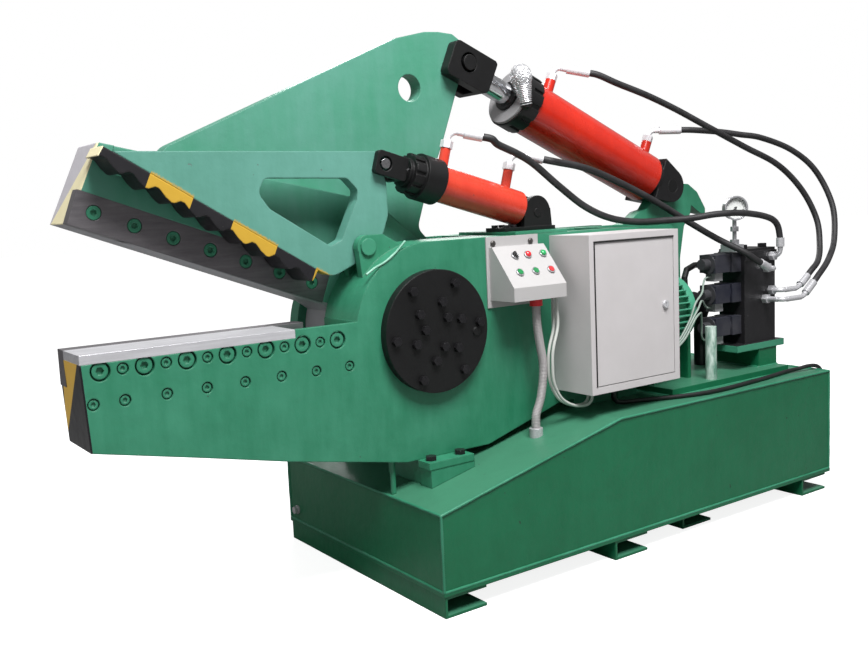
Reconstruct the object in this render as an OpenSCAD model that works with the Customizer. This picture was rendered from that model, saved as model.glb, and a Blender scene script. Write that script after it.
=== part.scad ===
// Hydraulic alligator shear: a fixed lower jaw, a swinging upper jaw and a hold-down arm
// on a welded tank base, with their cylinders, pump set, valves and electrical cabinet.
// X runs from the jaws to the rear, Y from the operator's side to the far side, Z up.

/* [Tank base] */
// Length of the tank
tank_l = 2200; // [2180:10:2700]
// Width of the tank
tank_w = 1100; // [900:10:1400]
// Thickness of the tank's walls
tank_wall = 8; // [5:1:12]
// Height of the tank's front edge above the floor
tank_front_z = 357; // [330:1:370]
// Height of the tank's flat top above the floor
tank_top_z = 545; // [530:1:555]
// Length of the sloped part of the top
slope_l = 850; // [800:10:880]
// Height of the channel feet
foot_h = 76; // [60:1:90]
// Width of each channel foot
foot_w = 176; // [120:1:190]
// Thickness of the raised deck plate
deck_t = 30; // [20:1:40]

/* [Frame and jaws] */
// Distance of the frame's near face from the tank's near side
near_y = 275; // [255:5:300]
// Thickness of the lower jaw
jaw_w = 224; // [185:1:270]
// Thickness of the frame's side plates
side_t = 60; // [40:1:70]
// Thickness of the upper jaw's nose and hub
upper_w = 200; // [150:1:240]
// Thickness of the upper jaw's main plate
plate_t = 66; // [50:1:80]
// Gap between the two jaws' shearing faces
shear_gap = 1; // [0.5:0.1:2]
// Radius of the main pivot pin
pin_r = 125; // [100:1:150]
// Wall of the bushes on the main pivot pin
bush_t = 15; // [10:1:18]
// Radial play of a running fit
run_fit = 0.05; // [0.02:0.01:0.1]
// Length of the upper blade
blade_l = 912; // [880:1:930]
// Height of the blades
blade_h = 110; // [90:1:120]
// Thickness of the upper blade
blade_t = 50; // [40:1:60]
// Thickness of the lower blade
low_blade_t = 60; // [45:1:70]
// Thickness of the liner on the lower jaw
liner_t = 28; // [20:1:34]
// Spacing of the blade screws
screw_pitch = 131; // [125:1:132]
// Radius of the lifting hole in the upper jaw
lift_r = 51; // [35:1:60]

/* [Hold-down arm] */
// Thickness of the arm's plate
arm_t = 50; // [35:1:60]
// Radius of the arm's pivot pin
arm_pin_r = 20; // [16:1:24]
// Gap between the arm and each of its lugs
arm_gap = 5; // [2:1:8]

/* [Main cylinder] */
// Bore radius of the main cylinder
main_bore_r = 90; // [70:1:110]
// Wall of the main cylinder's barrel
main_wall = 20; // [12:1:30]
// Radius of the main piston rod
main_rod_r = 45; // [35:1:55]
// Radius of the main cylinder's pins
main_pin_r = 30; // [25:1:36]
// Radial play of the two open pivots
fork_play = 8; // [6:0.5:10]

/* [Small cylinder] */
// Bore radius of the small cylinder
small_bore_r = 52; // [42:1:58]
// Wall of the small cylinder's barrel
small_wall = 16; // [10:1:18]
// Radius of the small piston rod
small_rod_r = 26; // [20:1:32]
// Radius of the small cylinder's pins
small_pin_r = 18; // [14:1:20]

/* [Cabinet] */
// Width of the electrical cabinet
cab_w = 491; // [460:1:500]
// Depth of the electrical cabinet
cab_d = 216; // [170:1:230]
// Height of the electrical cabinet
cab_h = 603; // [560:1:640]
// Sheet thickness of the cabinet
sheet_t = 3; // [2:0.5:4]
// Gap round the cabinet's door
door_gap = 3; // [2:0.5:4]

/* [Hoses and cables] */
// Radius of the pressure hoses
hose_r = 14; // [10:1:16]
// Radius of the flexible conduit
conduit_r = 17; // [12:1:20]
// Radius of each signal cable
signal_r = 6; // [5:1:8]
// Radius of the supply cable
supply_r = 9; // [7:1:11]

/* [Hidden] */
$fn = 64;
green = "seagreen";
steel = "silver";
dark = "dimgray";
red = "tomato";

// Planes across the machine
jaw_far_y = near_y + jaw_w;
upper_y0 = jaw_far_y + shear_gap;
upper_y1 = upper_y0 + upper_w;
far_y0 = upper_y1 + shear_gap;
far_y1 = far_y0 + side_t;
mid_y = upper_y0 + upper_w / 2;
arm_y = near_y + 125;
spine_t = 60;

// Main pivot, in X and Z
pivot = [195, 932];
arc_r = 318;
hub_r = 285;
bush_r = pin_r + bush_t;

// Lower jaw and frame
jaw_top = 996;
tip_x = -1038;
frame_top = 1250;
top_plate_t = 12;
bracket_z = frame_top + top_plate_t;
frame_rear_x = 1490;
casting_x = 560;
pad_z = 475;
strip_x = -351;
low_blade_x = -235;
root_x = -119;

// Blade screws
screw_x0 = -981;
screw_z = 944;
lower_row_z = 850;

// Upper jaw
nose = [-976, 1369];
nose_angle = -atan2(nose.y - pivot.y, pivot.x - nose.x);
lift_hole = [342, 1820];

// Link pins, in X and Z
jaw_pin = [595, 1920];
rear_pin = [1745, 1415];
arm_pin = [-18, 1243];
fork_pin = [80, 1528];
bracket_pin = [775, 1330];
main_angle = atan2(rear_pin.y - jaw_pin.y, rear_pin.x - jaw_pin.x);
small_angle = atan2(bracket_pin.y - fork_pin.y, bracket_pin.x - fork_pin.x);
main_len = norm(rear_pin - jaw_pin);
small_len = norm(bracket_pin - fork_pin);
main_barrel_r = main_bore_r + main_wall;
small_barrel_r = small_bore_r + small_wall;

// Cylinders, in their local X from the pin of the rod's fork; the hose ends are turned and bent
fork_y = 82;
clevis_y = 95;
fork_slot = plate_t / 2 + 2;
gland_x = [284, 372];
barrel_end = 1150;
main_ports = [472, 1112];
main_port_h = main_barrel_r + 52;
main_bends = [81, 70];
main_ferrule = 100;
hose_turn = -30;
valve_at = [298, -112, -38];
valve_lean = 35;
valve_r = 22;
valve_ball_h = 106;
piston_x = [1020, 1095];
small_gland_x = [105, 250];
small_barrel_end = 650;
small_ports = [272, 580];
small_port_h = small_barrel_r + 66;
small_bend = 89;
small_ferrule = 70;
small_piston_x = [560, 610];
small_rod_x = 72;

// Hose ends: where the elbow starts above the port, its radii, and the neck before the ferrule
elbow_z = 32;
elbow_bend_r = 35;
elbow_r = 10.5;
neck_l = 22;

// Pump set, valve block and gauge
deck_z = tank_top_z + deck_t;
deck_x = [1290, 2080];
deck_y = [130, mid_y - spine_t / 2 - 10];
motor_r = 170;
motor_x = [1300, 1560];
motor_axis = [mid_y - spine_t / 2 - 20 - motor_r, 870];
block_x = [1860, 2080];
block_y = [200, 340];
block_z = [690, 1118];
valve_z = [780, 926, 1062];
// ports on the valve block's near face, in X and Z
ports = [[2043, 922], [1999, 885], [2050, 1078], [2008, 1026]];
gauge_at = [1823, 225, 1303];
gauge_turn = -28;

// Cabinet and control box
cab_x = 763;
cab_z = 637;
cab_y = near_y - cab_d;
door_x = [790, 1222];
door_z = [668, 1212];
hinge_at = [797, cab_y + 5.6];
lock_at = [1171, 947];
face_angle = atan2(146, 120);
face_at = [133, 1066];
button_r = 12;

// The footprint's middle is the origin; the hose fittings reach past the tank
fitting_reach = 40;
footprint_mid = [(tank_l + fitting_reach + tip_x) / 2, tank_w / 2];

// ---- helpers ----

module placed() translate([-footprint_mid.x, -footprint_mid.y, 0]) children();

// A drawing in X and Z made into a plate from y0 to y1
module plate_xz(y0, y1) translate([0, y1, 0]) rotate([90, 0, 0]) linear_extrude(y1 - y0) children();

// A round bar along Y, centred on [x, z]
module bar_y(at, r, y0, y1) translate([at.x, y0, at.y]) rotate([-90, 0, 0]) cylinder(r = r, h = y1 - y0);

// A box between two corners
module box(a, b) translate(a) cube(b - a);

// A hexagon headed bolt, its head above z = 0 and its shank below
module hex_bolt(across, head_h, shank_r, shank_l) {
    cylinder(r = across / 2 / cos(30), h = head_h, $fn = 6);
    translate([0, 0, -shank_l]) cylinder(r = shank_r, h = shank_l);
}

// The same with its head towards -Y
module hex_bolt_y(at, y, across, head_h, shank_r, shank_l)
    translate([at.x, y, at.y]) rotate([90, 0, 0]) hex_bolt(across, head_h, shank_r, shank_l);

// The arc that rounds corner b between its neighbours a and c
function corner(a, b, c, r, n = 6) =
    let(u = (a - b) / norm(a - b), v = (c - b) / norm(c - b), half = acos(u * v) / 2,
        mid = b + (u + v) / norm(u + v) * r / sin(half),
        s = atan2((b + u * r / tan(half) - mid).y, (b + u * r / tan(half) - mid).x),
        e = atan2((b + v * r / tan(half) - mid).y, (b + v * r / tan(half) - mid).x),
        turn = e - s > 180 ? e - s - 360 : e - s < -180 ? e - s + 360 : e - s)
    [for (k = [0:n]) mid + r * [cos(s + turn * k / n), sin(s + turn * k / n)]];

// An outline whose points are [x, z, corner radius]
function outline(p) =
    let(n = len(p))
    [for (i = [0:n - 1]) each p[i][2] == 0 ? [[p[i].x, p[i].y]] : corner(
        [p[(i + n - 1) % n].x, p[(i + n - 1) % n].y], [p[i].x, p[i].y],
        [p[(i + 1) % n].x, p[(i + 1) % n].y], p[i][2])];

// Height of the tank's top at a distance from its front
function slope_z(x) = tank_front_z + (tank_top_z - tank_front_z) * min(x, slope_l) / slope_l;

// A ring of points round the main pivot
function pivot_ring(n, r, first) =
    [for (k = [0:n - 1]) pivot + r * [cos(first + 360 * k / n), sin(first + 360 * k / n)]];

// Local frames of the blade and the cylinders: local X runs along them, local Z is above them
module blade_frame() translate([nose.x, 0, nose.y]) rotate([0, -nose_angle, 0]) children();
module main_frame() translate([jaw_pin.x, mid_y, jaw_pin.y]) rotate([0, -main_angle, 0]) children();
module small_frame() translate([fork_pin.x, arm_y, fork_pin.y]) rotate([0, -small_angle, 0]) children();

// A round bar along local X
module bar_x(r, x0, x1) translate([x0, 0, 0]) rotate([0, 90, 0]) cylinder(r = r, h = x1 - x0);

// ---- cords ----

// A smooth run through the points p, with n steps from each to the next
function smooth_run(p, n) =
    [for (i = [0:len(p) - 2]) for (k = [0:n - 1])
        let(a = p[max(i - 1, 0)], b = p[i], c = p[i + 1], d = p[min(i + 2, len(p) - 1)], t = k / n)
        0.5 * (2 * b + (c - a) * t + (2 * a - 5 * b + 4 * c - d) * t * t
            + (3 * b - a - 3 * c + d) * t * t * t),
     p[len(p) - 1]];

function unit(v) = v / norm(v);

// Directions along a run
function headings(q) =
    [for (i = [0:len(q) - 1]) unit(q[min(i + 1, len(q) - 1)] - q[max(i - 1, 0)])];

// A sideways direction at each place of a run, carried along without twist
function sideways(t, i = 0, last = [0.3, 1, 0.2], found = []) =
    i == len(t) ? found :
    let(s = unit(last - t[i] * (last * t[i]))) sideways(t, i + 1, s, concat(found, [s]));

// A closed round tube of radius r through the points p
module tube(p, r, steps = 1, sides = 8) {
    q = smooth_run(p, steps);
    t = headings(q);
    s = sideways(t);
    points = [for (i = [0:len(q) - 1]) let(w = cross(t[i], s[i])) for (k = [0:sides - 1])
        q[i] + r * (s[i] * cos(360 * k / sides) + w * sin(360 * k / sides))];
    last = (len(q) - 1) * sides;
    polyhedron(points = points, faces = concat(
        [[for (k = [0:sides - 1]) k]],
        [[for (k = [sides - 1:-1:0]) last + k]],
        [for (i = [0:len(q) - 2]) for (k = [0:sides - 1]) for (half = [0, 1])
            let(a = i * sides + k, b = i * sides + (k + 1) % sides)
            half == 0 ? [a, a + sides, b] : [b, a + sides, b + sides]]));
}

// Far ends of the crimped ferrules, and the way that they point
function in_frame(at, angle, y, p) = [at.x + p.x * cos(angle) - p.z * sin(angle), y + p.y,
    at.y + p.x * sin(angle) + p.z * cos(angle)];
function hose_tip(x, h, turn, bend, l) =
    let(out = elbow_bend_r * (1 - cos(bend)) + (neck_l + l) * sin(bend))
    [x + out * cos(turn), out * sin(turn),
        h + elbow_z + elbow_bend_r * sin(bend) + (neck_l + l) * cos(bend)];
function port_tip(p, out, reach, rise, l) = [p.x + 30 + reach + 50 * sin(rise) + l * cos(rise),
    block_y[0] - out, p.y + 50 - 50 * cos(rise) + l * sin(rise)];
function main_tip(k, l) = in_frame(jaw_pin, main_angle, mid_y,
    hose_tip(main_ports[k], main_port_h, hose_turn, main_bends[k], main_ferrule + l));
function small_tip(k, l) = in_frame(fork_pin, small_angle, arm_y,
    hose_tip(small_ports[k], small_port_h, hose_turn, small_bend, small_ferrule + l));

// Routes of the cords, in machine coordinates; a hose starts just clear of its ferrule
hose_gap = 6;
route_main_front = [main_tip(0, hose_gap), main_tip(0, 40),
    [1373, 482, 1861], [1530, 462, 1814], [1689, 438, 1755], [1842, 405, 1685], [2083, 370, 1584],
    [2294, 335, 1494], [2436, 300, 1369], [2500, 262, 1225], [2462, 220, 1105], [2372, 170, 1035],
    port_tip(ports[0], 60, 75, 34, 118), port_tip(ports[0], 60, 75, 34, 78 + hose_gap)];
route_main_rear = [main_tip(1, hose_gap), main_tip(1, 40),
    [1945, 494, 1666], [2058, 474, 1658], [2163, 450, 1645], [2289, 420, 1627], [2464, 375, 1565],
    [2586, 325, 1460], [2636, 265, 1290], [2560, 205, 1130], [2410, 140, 1038],
    port_tip(ports[1], 100, 100, 36, 128), port_tip(ports[1], 100, 100, 36, 88 + hose_gap)];
route_small_front = [small_tip(0, hose_gap), small_tip(0, 35),
    [570, 328, 1590], [656, 328, 1558], [738, 326, 1518], [871, 322, 1425], [1003, 318, 1342],
    [1142, 314, 1290], [1293, 306, 1268], [1443, 285, 1267], [1554, 238, 1271], [1647, 185, 1283],
    [1770, 159, 1283], [1880, 156, 1272], [1955, 154, 1258], [2005, 152, 1240],
    [ports[2].x - 14, block_y[0] - 49, ports[2].y + 130],
    [ports[2].x, block_y[0] - 50, ports[2].y + 82 + hose_gap]];
route_small_rear = [small_tip(1, hose_gap), small_tip(1, 35),
    [884, 332, 1520], [989, 334, 1504], [1096, 334, 1476], [1259, 332, 1418], [1422, 322, 1348],
    [1582, 302, 1265], [1714, 240, 1177], [1800, 160, 1112], rear_tip(40), rear_tip(hose_gap)];
function rear_tip(more) =
    let(p = port_tip([0, ports[3].y], 60, 6, 25, 66 + more)) [ports[3].x - p.x, p.y, p.z];
route_conduit = [[620, 200, 985], [620, 200, 955], [623, 200, 900], [634, 200, 830],
    [645, 200, 765], [642, 200, 700], [627, 200, 630], [604, 200, 575], [600, 200, 548], [600, 200, 520]];
route_signal = [[702, 200, 1014], [704, 200, 980], [700, 194, 900], [667, 186, 820],
    [659, 184, 760], [664, 184, 690], [700, 184, 625], [760, 184, 588], [825, 184, 578],
    [856, 184, 592], [860, 184, 616]];
// Three valve cables leave the cabinet's side together and part for their connectors
cable_pitch = 13;
valve_cable_start =
    [[cab_x + cab_w + 2, 690], [1300, 700], [1360, 720], [1425, 758], [1458, 789], [1504, 845]];
valve_cable_ends = [
    [[1560, 203, 862], [1598, 230, 846], [1624, 250, 795], [1638, 262, 748],
        [1665, 270, 726], [1708, 270, 721]],
    [[1552, 207, 884], [1592, 226, 908], [1630, 246, 902], [1662, 262, 882],
        [1686, 270, 869], [1708, 270, 867]],
    [[1540, 213, 905], [1594, 222, 945], [1628, 242, 978], [1662, 262, 998], [1688, 270, 1003],
        [1708, 270, 1003]]];
function route_valve(k) =
    concat([for (p = valve_cable_start) [p.x, 184 + cable_pitch * k, p.y]], valve_cable_ends[k]);
route_supply = [[990, 170, 617], [990, 170, 599], [994, 173, 579], [1010, 176, 563],
    [1045, 172, 556], [1129, 145, 555], [1291, 80, 555], [1468, 48, 555], [1793, 70, 555],
    [2000, 95, 556], [2090, 86, 560], [2160, 74, 566], [2212, 66, 557], [2242, 64, 522],
    [2252, 64, 472], [2246, 66, 400], [2240, 70, 260], [2238, 82, 150], [2238, 118, 68],
    [2238, 185, 22], [2238, 290, 10], [2238, 600, 10], [2236, 1000, 10], [2235, 1200, 10],
    [2235, 1266, 10]];

// Coil of spare supply cable on the floor behind the tank, with its plug beside it
coil_at = [2131, 1350];
coil_r = 104;
coil_h = 4 * supply_r;
plug_r = 34;
plug_l = 120;

// ---- tank base ----

module tank_profile(inset) polygon([
    [inset, foot_h + inset], [inset, tank_front_z - inset * 1.2],
    [slope_l, tank_top_z - inset * 1.1], [tank_l - inset, tank_top_z - inset * 1.1],
    [tank_l - inset, foot_h + inset]]);

module tank() placed() color(green) difference() {
    union() {
        plate_xz(0, tank_w) tank_profile(0);
        box([-4, -4, foot_h], [tank_l + 4, tank_w + 4, foot_h + 14]);
        box([-3, 1, tank_front_z - 6], [6, tank_w - 1, tank_front_z - 1]);
    }
    plate_xz(tank_wall, tank_w - tank_wall) tank_profile(tank_wall);
    translate([-5, tank_w - 62, foot_h + 62]) rotate([0, 90, 0]) cylinder(r = 18, h = tank_wall + 10);
}

// One channel with its open side to the rear
module channel(x, y0) translate([x, y0, 0]) difference() {
    cube([foot_w, tank_w - y0, foot_h]);
    translate([10, -1, 10]) cube([foot_w, tank_w + 2, foot_h - 20]);
}

module foot_channels() placed() color(green) {
    channel(2, 0);
    channel(tank_l * 0.366, 0);
    channel(tank_l * 0.575, 65);
    channel(tank_l - foot_w - 30, 0);
}

module deck_plate() placed() color(green) {
    box([deck_x[0], deck_y[0], tank_top_z], [deck_x[1], deck_y[1], deck_z]);
    // valve stand
    difference() {
        box([1946, 190, deck_z], [2076, 430, 660]);
        box([1958, 202, deck_z - 1], [2077, 418, 648]);
    }
    // motor cradles
    for (x = [motor_x[0] + 10, motor_x[1] - 30]) difference() {
        box([x, motor_axis[0] - 130, deck_z], [x + 20, motor_axis[0] + 130, motor_axis[1] - 100]);
        translate([x - 1, motor_axis[0], motor_axis[1]]) bar_x(motor_r - 14, 0, 22);
    }
}

// ---- frame ----

module lower_outline() {
    circle(r = arc_r);
    translate(-pivot) polygon(outline([
        [-1040, jaw_top, 0], [pivot.x, jaw_top, 0], [pivot.x, frame_top, 0],
        [frame_rear_x, frame_top, 20], [1462, 1130, 30], [1240, 1125, 60], [1240, 580, 0],
        [795, 580, 60], [651, 538, 60], [430, pad_z, 60], [60, pad_z, 60], [-406, 567, 120],
        [-703, 636, 0], [-1027, 709, 0]]));
}

module arm_lug(y0, y1) plate_xz(y0, y1) {
    translate(arm_pin) circle(r = 42);
    polygon(outline([[-58, 1240, 0], [-46, 1130, 0], [150, 1225, 0], [46, 1284, 20], [-10, 1284, 0]]));
}

module lower_jaw_frame() placed() color(green) difference() {
    union() {
        plate_xz(near_y, near_y + side_t) translate(pivot) lower_outline();
        plate_xz(near_y, jaw_far_y) intersection() {
            translate(pivot) lower_outline();
            translate([-1100, 400]) square([casting_x + 1100, 900]);
        }
        arm_lug(arm_y - arm_t / 2 - arm_gap - 30, arm_y - arm_t / 2 - arm_gap);
        arm_lug(arm_y + arm_t / 2 + arm_gap, arm_y + arm_t / 2 + arm_gap + 30);
        box([870, near_y, tank_top_z], [1080, near_y + side_t, 581]);
        box([1120, near_y, tank_top_z], [1230, near_y + side_t, 581]);
    }
    bar_y(pivot, bush_r, near_y - 1, jaw_far_y + 1);
    bar_y(arm_pin, arm_pin_r, near_y, jaw_far_y);
    for (p = pivot_ring(6, 183, 5)) bar_y(p, 8, near_y - 1, near_y + 25);
    // rebates of the liner and the lower blade, and the open root behind them
    box([tip_x - 10, near_y - 1, jaw_top - liner_t], [strip_x, jaw_far_y + 1, jaw_top + 1]);
    box([tip_x - 10, jaw_far_y - low_blade_t, jaw_top - blade_h], [low_blade_x, jaw_far_y + 1, jaw_top + 1]);
    box([strip_x - 1, near_y + 15, jaw_top - liner_t], [root_x, jaw_far_y + 1, jaw_top + 1]);
    // blade screws: large ones go through to the blade, small ones are blind
    for (k = [0:6]) {
        bar_y([screw_x0 + screw_pitch * k, screw_z], 30, near_y - 1, near_y + 20);
        bar_y([screw_x0 + screw_pitch * k, screw_z], 12.5, near_y + 19, jaw_far_y - low_blade_t + 1);
    }
    for (p = small_screws()) {
        bar_y(p, 18, near_y - 1, near_y + 12);
        bar_y(p, 7, near_y + 11, near_y + 60);
    }
}

// Places of the small recessed screws on the near face
function small_screws() = concat(
    [for (k = [0:5]) [screw_x0 + screw_pitch * (k + 0.5), screw_z]],
    [[screw_x0 - 27, lower_row_z]],
    [for (k = [0:6]) [screw_x0 + 65 + screw_pitch * k * 0.97, lower_row_z]]);

module far_side_plate() placed() color(green) difference() {
    union() {
        bar_y(pivot, arc_r, far_y0, far_y1);
        plate_xz(far_y0, far_y1) polygon(outline([[pivot.x, frame_top, 0], [frame_rear_x, frame_top, 20],
            [frame_rear_x, tank_top_z, 0], [870, tank_top_z, 0], [795, 580, 60], [651, 538, 60],
            [430, pad_z, 60], [60, pad_z, 60], [-65, 750, 0], pivot_corner]));
    }
    bar_y(pivot, bush_r, far_y0 - 1, far_y1 + 1);
    for (p = pivot_ring(6, 183, 5)) bar_y(p, 8, far_y1 - 25, far_y1 + 1);
}

module rear_frame() placed() color(green) difference() {
    union() {
        plate_xz(mid_y - spine_t / 2, mid_y + spine_t / 2) {
            polygon(outline([[590, slope_z(590), 0], [590, frame_top, 0], [1480, frame_top, 30],
                [1545, 1275, 30], [1590, 1303, 0], [1640, 1312, 20], [1700, 1378, 0],
                [rear_pin.x, 1415, 0], [1790, 1452, 0], [1870, 1425, 0], [1927, 1422, 25],
                [1992, 1382, 40], [2049, 1303, 0], [2049, 1274, 0], [2012, 1281, 0],
                [1947, 1321, 0], [1939, 1279, 0], [1894, 1224, 30], [1863, 1073, 60],
                [1863, tank_top_z, 0], [slope_l, tank_top_z, 0]]));
            translate(rear_pin) circle(r = 58);
        }
        // cross plates between the side plates
        box([casting_x, near_y + side_t, 600], [casting_x + 30, far_y0, frame_top]);
        box([1180, near_y + side_t, 600], [1210, far_y0, frame_top]);
        // top plate that carries the small cylinder's bracket
        box([595, near_y, frame_top], [860, mid_y + spine_t / 2, frame_top + top_plate_t]);
    }
    bar_y(rear_pin, main_pin_r + 2, mid_y - spine_t, mid_y + spine_t);
    for (x = bracket_bolt_x) for (y = [arm_y - 35, arm_y + 35])
        translate([x, y, frame_top - 1]) cylinder(r = 8, h = top_plate_t + 2);
}

bracket_bolt_x = [625, 660];

// Seats under the frame: a wedge on the sloping top and a flange outside the plate
module seat(y0, y1, flange0, flange1) {
    plate_xz(y0, y1) polygon([[118, slope_z(118)], [300, slope_z(300)], [300, pad_z], [118, pad_z]]);
    plate_xz(flange0, flange1)
        polygon([[112, slope_z(112)], [306, slope_z(306)], [306, pad_z - 26], [112, pad_z - 26]]);
    difference() {
        box([104, flange0 - 2, pad_z - 26], [304, flange1, pad_z]);
        for (x = [138, 266])
            translate([x, (flange0 + flange1) / 2, pad_z - 40]) cylinder(r = 12, h = 50);
    }
}

module seat_pads() placed() color(green) {
    seat(near_y, jaw_far_y, near_y - 68, near_y);
    seat(far_y0, far_y1, far_y1 + 2, far_y1 + 68);
    // stud under the front of the frame
    difference() {
        translate([20, near_y + 40, slope_z(0)]) cylinder(r = 10, h = pad_z - slope_z(0) + 30);
        plate_xz(0, tank_w) tank_profile(0);
        plate_xz(near_y, jaw_far_y) translate(pivot) lower_outline();
    }
}

module frame_bolts() placed() color(dark) {
    for (x = [138, 266]) for (y = [near_y - 34, far_y1 + 35])
        translate([x, y, pad_z]) hex_bolt(36, 16, 12, 26);
    for (x = bracket_bolt_x) for (y = [arm_y - 35, arm_y + 35])
        translate([x, y, bracket_z + 15]) hex_bolt(24, 10, 8, 40);
    // bolts of the two pivot covers
    for (p = cover_bolts()) {
        hex_bolt_y(p, near_y - 35, 30, 16, 8, 60);
        translate([0, near_y + far_y1, 0]) mirror([0, 1, 0])
            hex_bolt_y(p, near_y - 35, 30, 16, 8, 60);
    }
    // bolts of the valve block
    for (x = [block_x[0] + 40, block_x[1] - 40])
        translate([x, block_y[0] + 40, block_z[1]]) hex_bolt(34, 18, 9, 40);
}

function cover_bolts() = concat(pivot_ring(6, 183, 5), pivot_ring(6, 105, 20), pivot_ring(3, 60, 50));

module jaw_liner() placed() color(steel)
    box([tip_x, near_y, jaw_top - liner_t], [strip_x, jaw_far_y - low_blade_t, jaw_top]);

module lower_blade() placed() color(steel) difference() {
    box([tip_x, jaw_far_y - low_blade_t, jaw_top - blade_h], [low_blade_x, jaw_far_y, jaw_top]);
    for (k = [0:5])
        bar_y([screw_x0 + screw_pitch * k, screw_z], 12, jaw_far_y - low_blade_t - 1, jaw_far_y - 20);
}

module jaw_screws() placed() color(green) {
    for (k = [0:6]) screw([screw_x0 + screw_pitch * k, screw_z], near_y + 20, 24, 16, 12,
        k < 6 ? jaw_w - 40 : jaw_w - low_blade_t - 21);
    for (p = small_screws()) screw(p, near_y + 12, 14, 9, 7, 48);
}

// A cap screw whose head's seat is at y, with a hexagon socket
module screw(at, y, head_r, head_h, shank_r, shank_l) difference() {
    union() {
        bar_y(at, head_r, y - head_h, y);
        bar_y(at, shank_r, y, y + shank_l);
    }
    translate([at.x, y - head_h - 1, at.y]) rotate([-90, 0, 0])
        cylinder(r = head_r * 0.5, h = head_h * 0.6, $fn = 6);
}

// ---- main pivot ----

module main_pin() placed() color(steel) difference() {
    bar_y(pivot, pin_r, near_y, far_y1);
    for (p = concat(pivot_ring(6, 105, 20), pivot_ring(3, 60, 50))) {
        bar_y(p, 8, near_y - 1, near_y + 25);
        bar_y(p, 8, far_y1 - 25, far_y1 + 1);
    }
}

module bush(y0, y1, r_in) difference() {
    bar_y(pivot, bush_r, y0, y1);
    bar_y(pivot, r_in, y0 - 1, y1 + 1);
}

module pin_bushes() placed() color("goldenrod") {
    bush(near_y, jaw_far_y, pin_r);
    bush(far_y0, far_y1, pin_r);
}

module jaw_bush() placed() color("goldenrod") bush(upper_y0, upper_y1, pin_r + run_fit);

// A cover with the boss of its grease hole
module cover(y0, y1, boss0, boss1) difference() {
    union() {
        bar_y(pivot, 220, y0, y1);
        bar_y(pivot + [168, -18], 16, boss0, boss1);
    }
    for (p = cover_bolts()) bar_y(p, 8, y0 - 10, y1 + 10);
}

module pin_covers() placed() color(dark) {
    cover(near_y - 35, near_y, near_y - 41, near_y);
    cover(far_y1, far_y1 + 35, far_y1, far_y1 + 41);
}

// ---- upper jaw ----

module upper_jaw() placed() color(green) difference() {
    union() {
        plate_xz(upper_y0, upper_y1) {
            translate(pivot) circle(r = hub_r);
            polygon(outline([[nose.x, nose.y, 0], [-866, 1613, 6], [-757, 1590, 0], [120, 1400, 60],
                [380, 1190, 60], [440, 1060, 0], pivot_corner, [-60, 1000, 0], [-123, 1045, 0]]));
        }
        plate_xz(mid_y - plate_t / 2, mid_y + plate_t / 2) {
            polygon(outline([[-647, 1560, 0], [-647, 1595, 60], [293, 2002, 90], [421, 2032, 90],
                [488, 2036, 0], [554, 2032, 20], [632, 1985, 30], [565, 1818, 0], [491, 1628, 60],
                [385, 1390, 60], [351, 1291, 40], [400, 1240, 40], [440, 1060, 0]]));
            translate(jaw_pin) circle(r = 74);
        }
    }
    bar_y(pivot, bush_r, upper_y0 - 1, upper_y1 + 1);
    bar_y(lift_hole, lift_r, mid_y - plate_t, mid_y + plate_t);
    bar_y(jaw_pin, main_pin_r, mid_y - plate_t, mid_y + plate_t);
    blade_frame() {
        translate([-60, upper_y0 - 1, -1]) cube([blade_l + 60, blade_t + 1, blade_h + 1]);
        translate([70, upper_y0 - 1, 190]) cube([1000, 13, 400]);
        for (k = [0:6]) translate([66 + screw_pitch * k, upper_y0 + blade_t - 1, 57])
            rotate([-90, 0, 0]) cylinder(r = 11, h = 60);
    }
}

pivot_corner = [pivot.x, pivot.y, 0];

module upper_blade() placed() color(dark) blade_frame() difference() {
    translate([0, upper_y0, 0]) cube([blade_l, blade_t, blade_h]);
    for (k = [0:6]) translate([66 + screw_pitch * k, upper_y0, 57]) rotate([-90, 0, 0]) {
        translate([0, 0, -1]) cylinder(r = 24, h = 17);
        cylinder(r = 11.5, h = blade_t + 1);
    }
}

module upper_blade_bolts() placed() color(green) blade_frame()
    for (k = [0:6]) translate([66 + screw_pitch * k, upper_y0 + 16, 57]) rotate([90, 0, 0]) difference() {
        union() {
            cylinder(r = 22.5, h = 14);
            translate([0, 0, -75]) cylinder(r = 11, h = 75);
        }
        translate([0, 0, 6]) cylinder(r = 10, h = 10, $fn = 6);
    }

module jaw_clevis_pin() placed() color(dark)
    bar_y(jaw_pin, main_pin_r, mid_y - fork_y - 8, mid_y + fork_y + 8);

// ---- main cylinder ----

module main_rod_fork() placed() color(dark) main_frame() difference() {
    translate([0, fork_y, 0]) rotate([90, 0, 0]) linear_extrude(2 * fork_y)
        polygon(outline([[-85, -82, 22], [128, -78, 26], [132, 56, 12], [120, 64, 0], [-85, 60, 22]]));
    translate([-86, -fork_slot, -90]) cube([176, 2 * fork_slot, 180]);
    rotate([90, 0, 0]) cylinder(r = main_pin_r + fork_play, h = 300, center = true);
    bar_x(main_rod_r, 100, 140);
}

module main_rod() placed() color(steel) main_frame() {
    bar_x(main_rod_r, 100, piston_x[0]);
    bar_x(main_bore_r - 0.3, piston_x[0], piston_x[1]);
}

module main_barrel() placed() color(red) main_frame() difference() {
    union() {
        bar_x(main_barrel_r, gland_x[1], barrel_end);
        for (x = main_ports) translate([x, 0, main_bore_r + 5])
            cylinder(r = 23, h = main_port_h - main_bore_r - 5);
    }
    bar_x(main_bore_r, gland_x[1] - 1, barrel_end + 1);
    for (x = main_ports) translate([x, 0, main_bore_r - 20]) cylinder(r = 10, h = 100);
}

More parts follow.
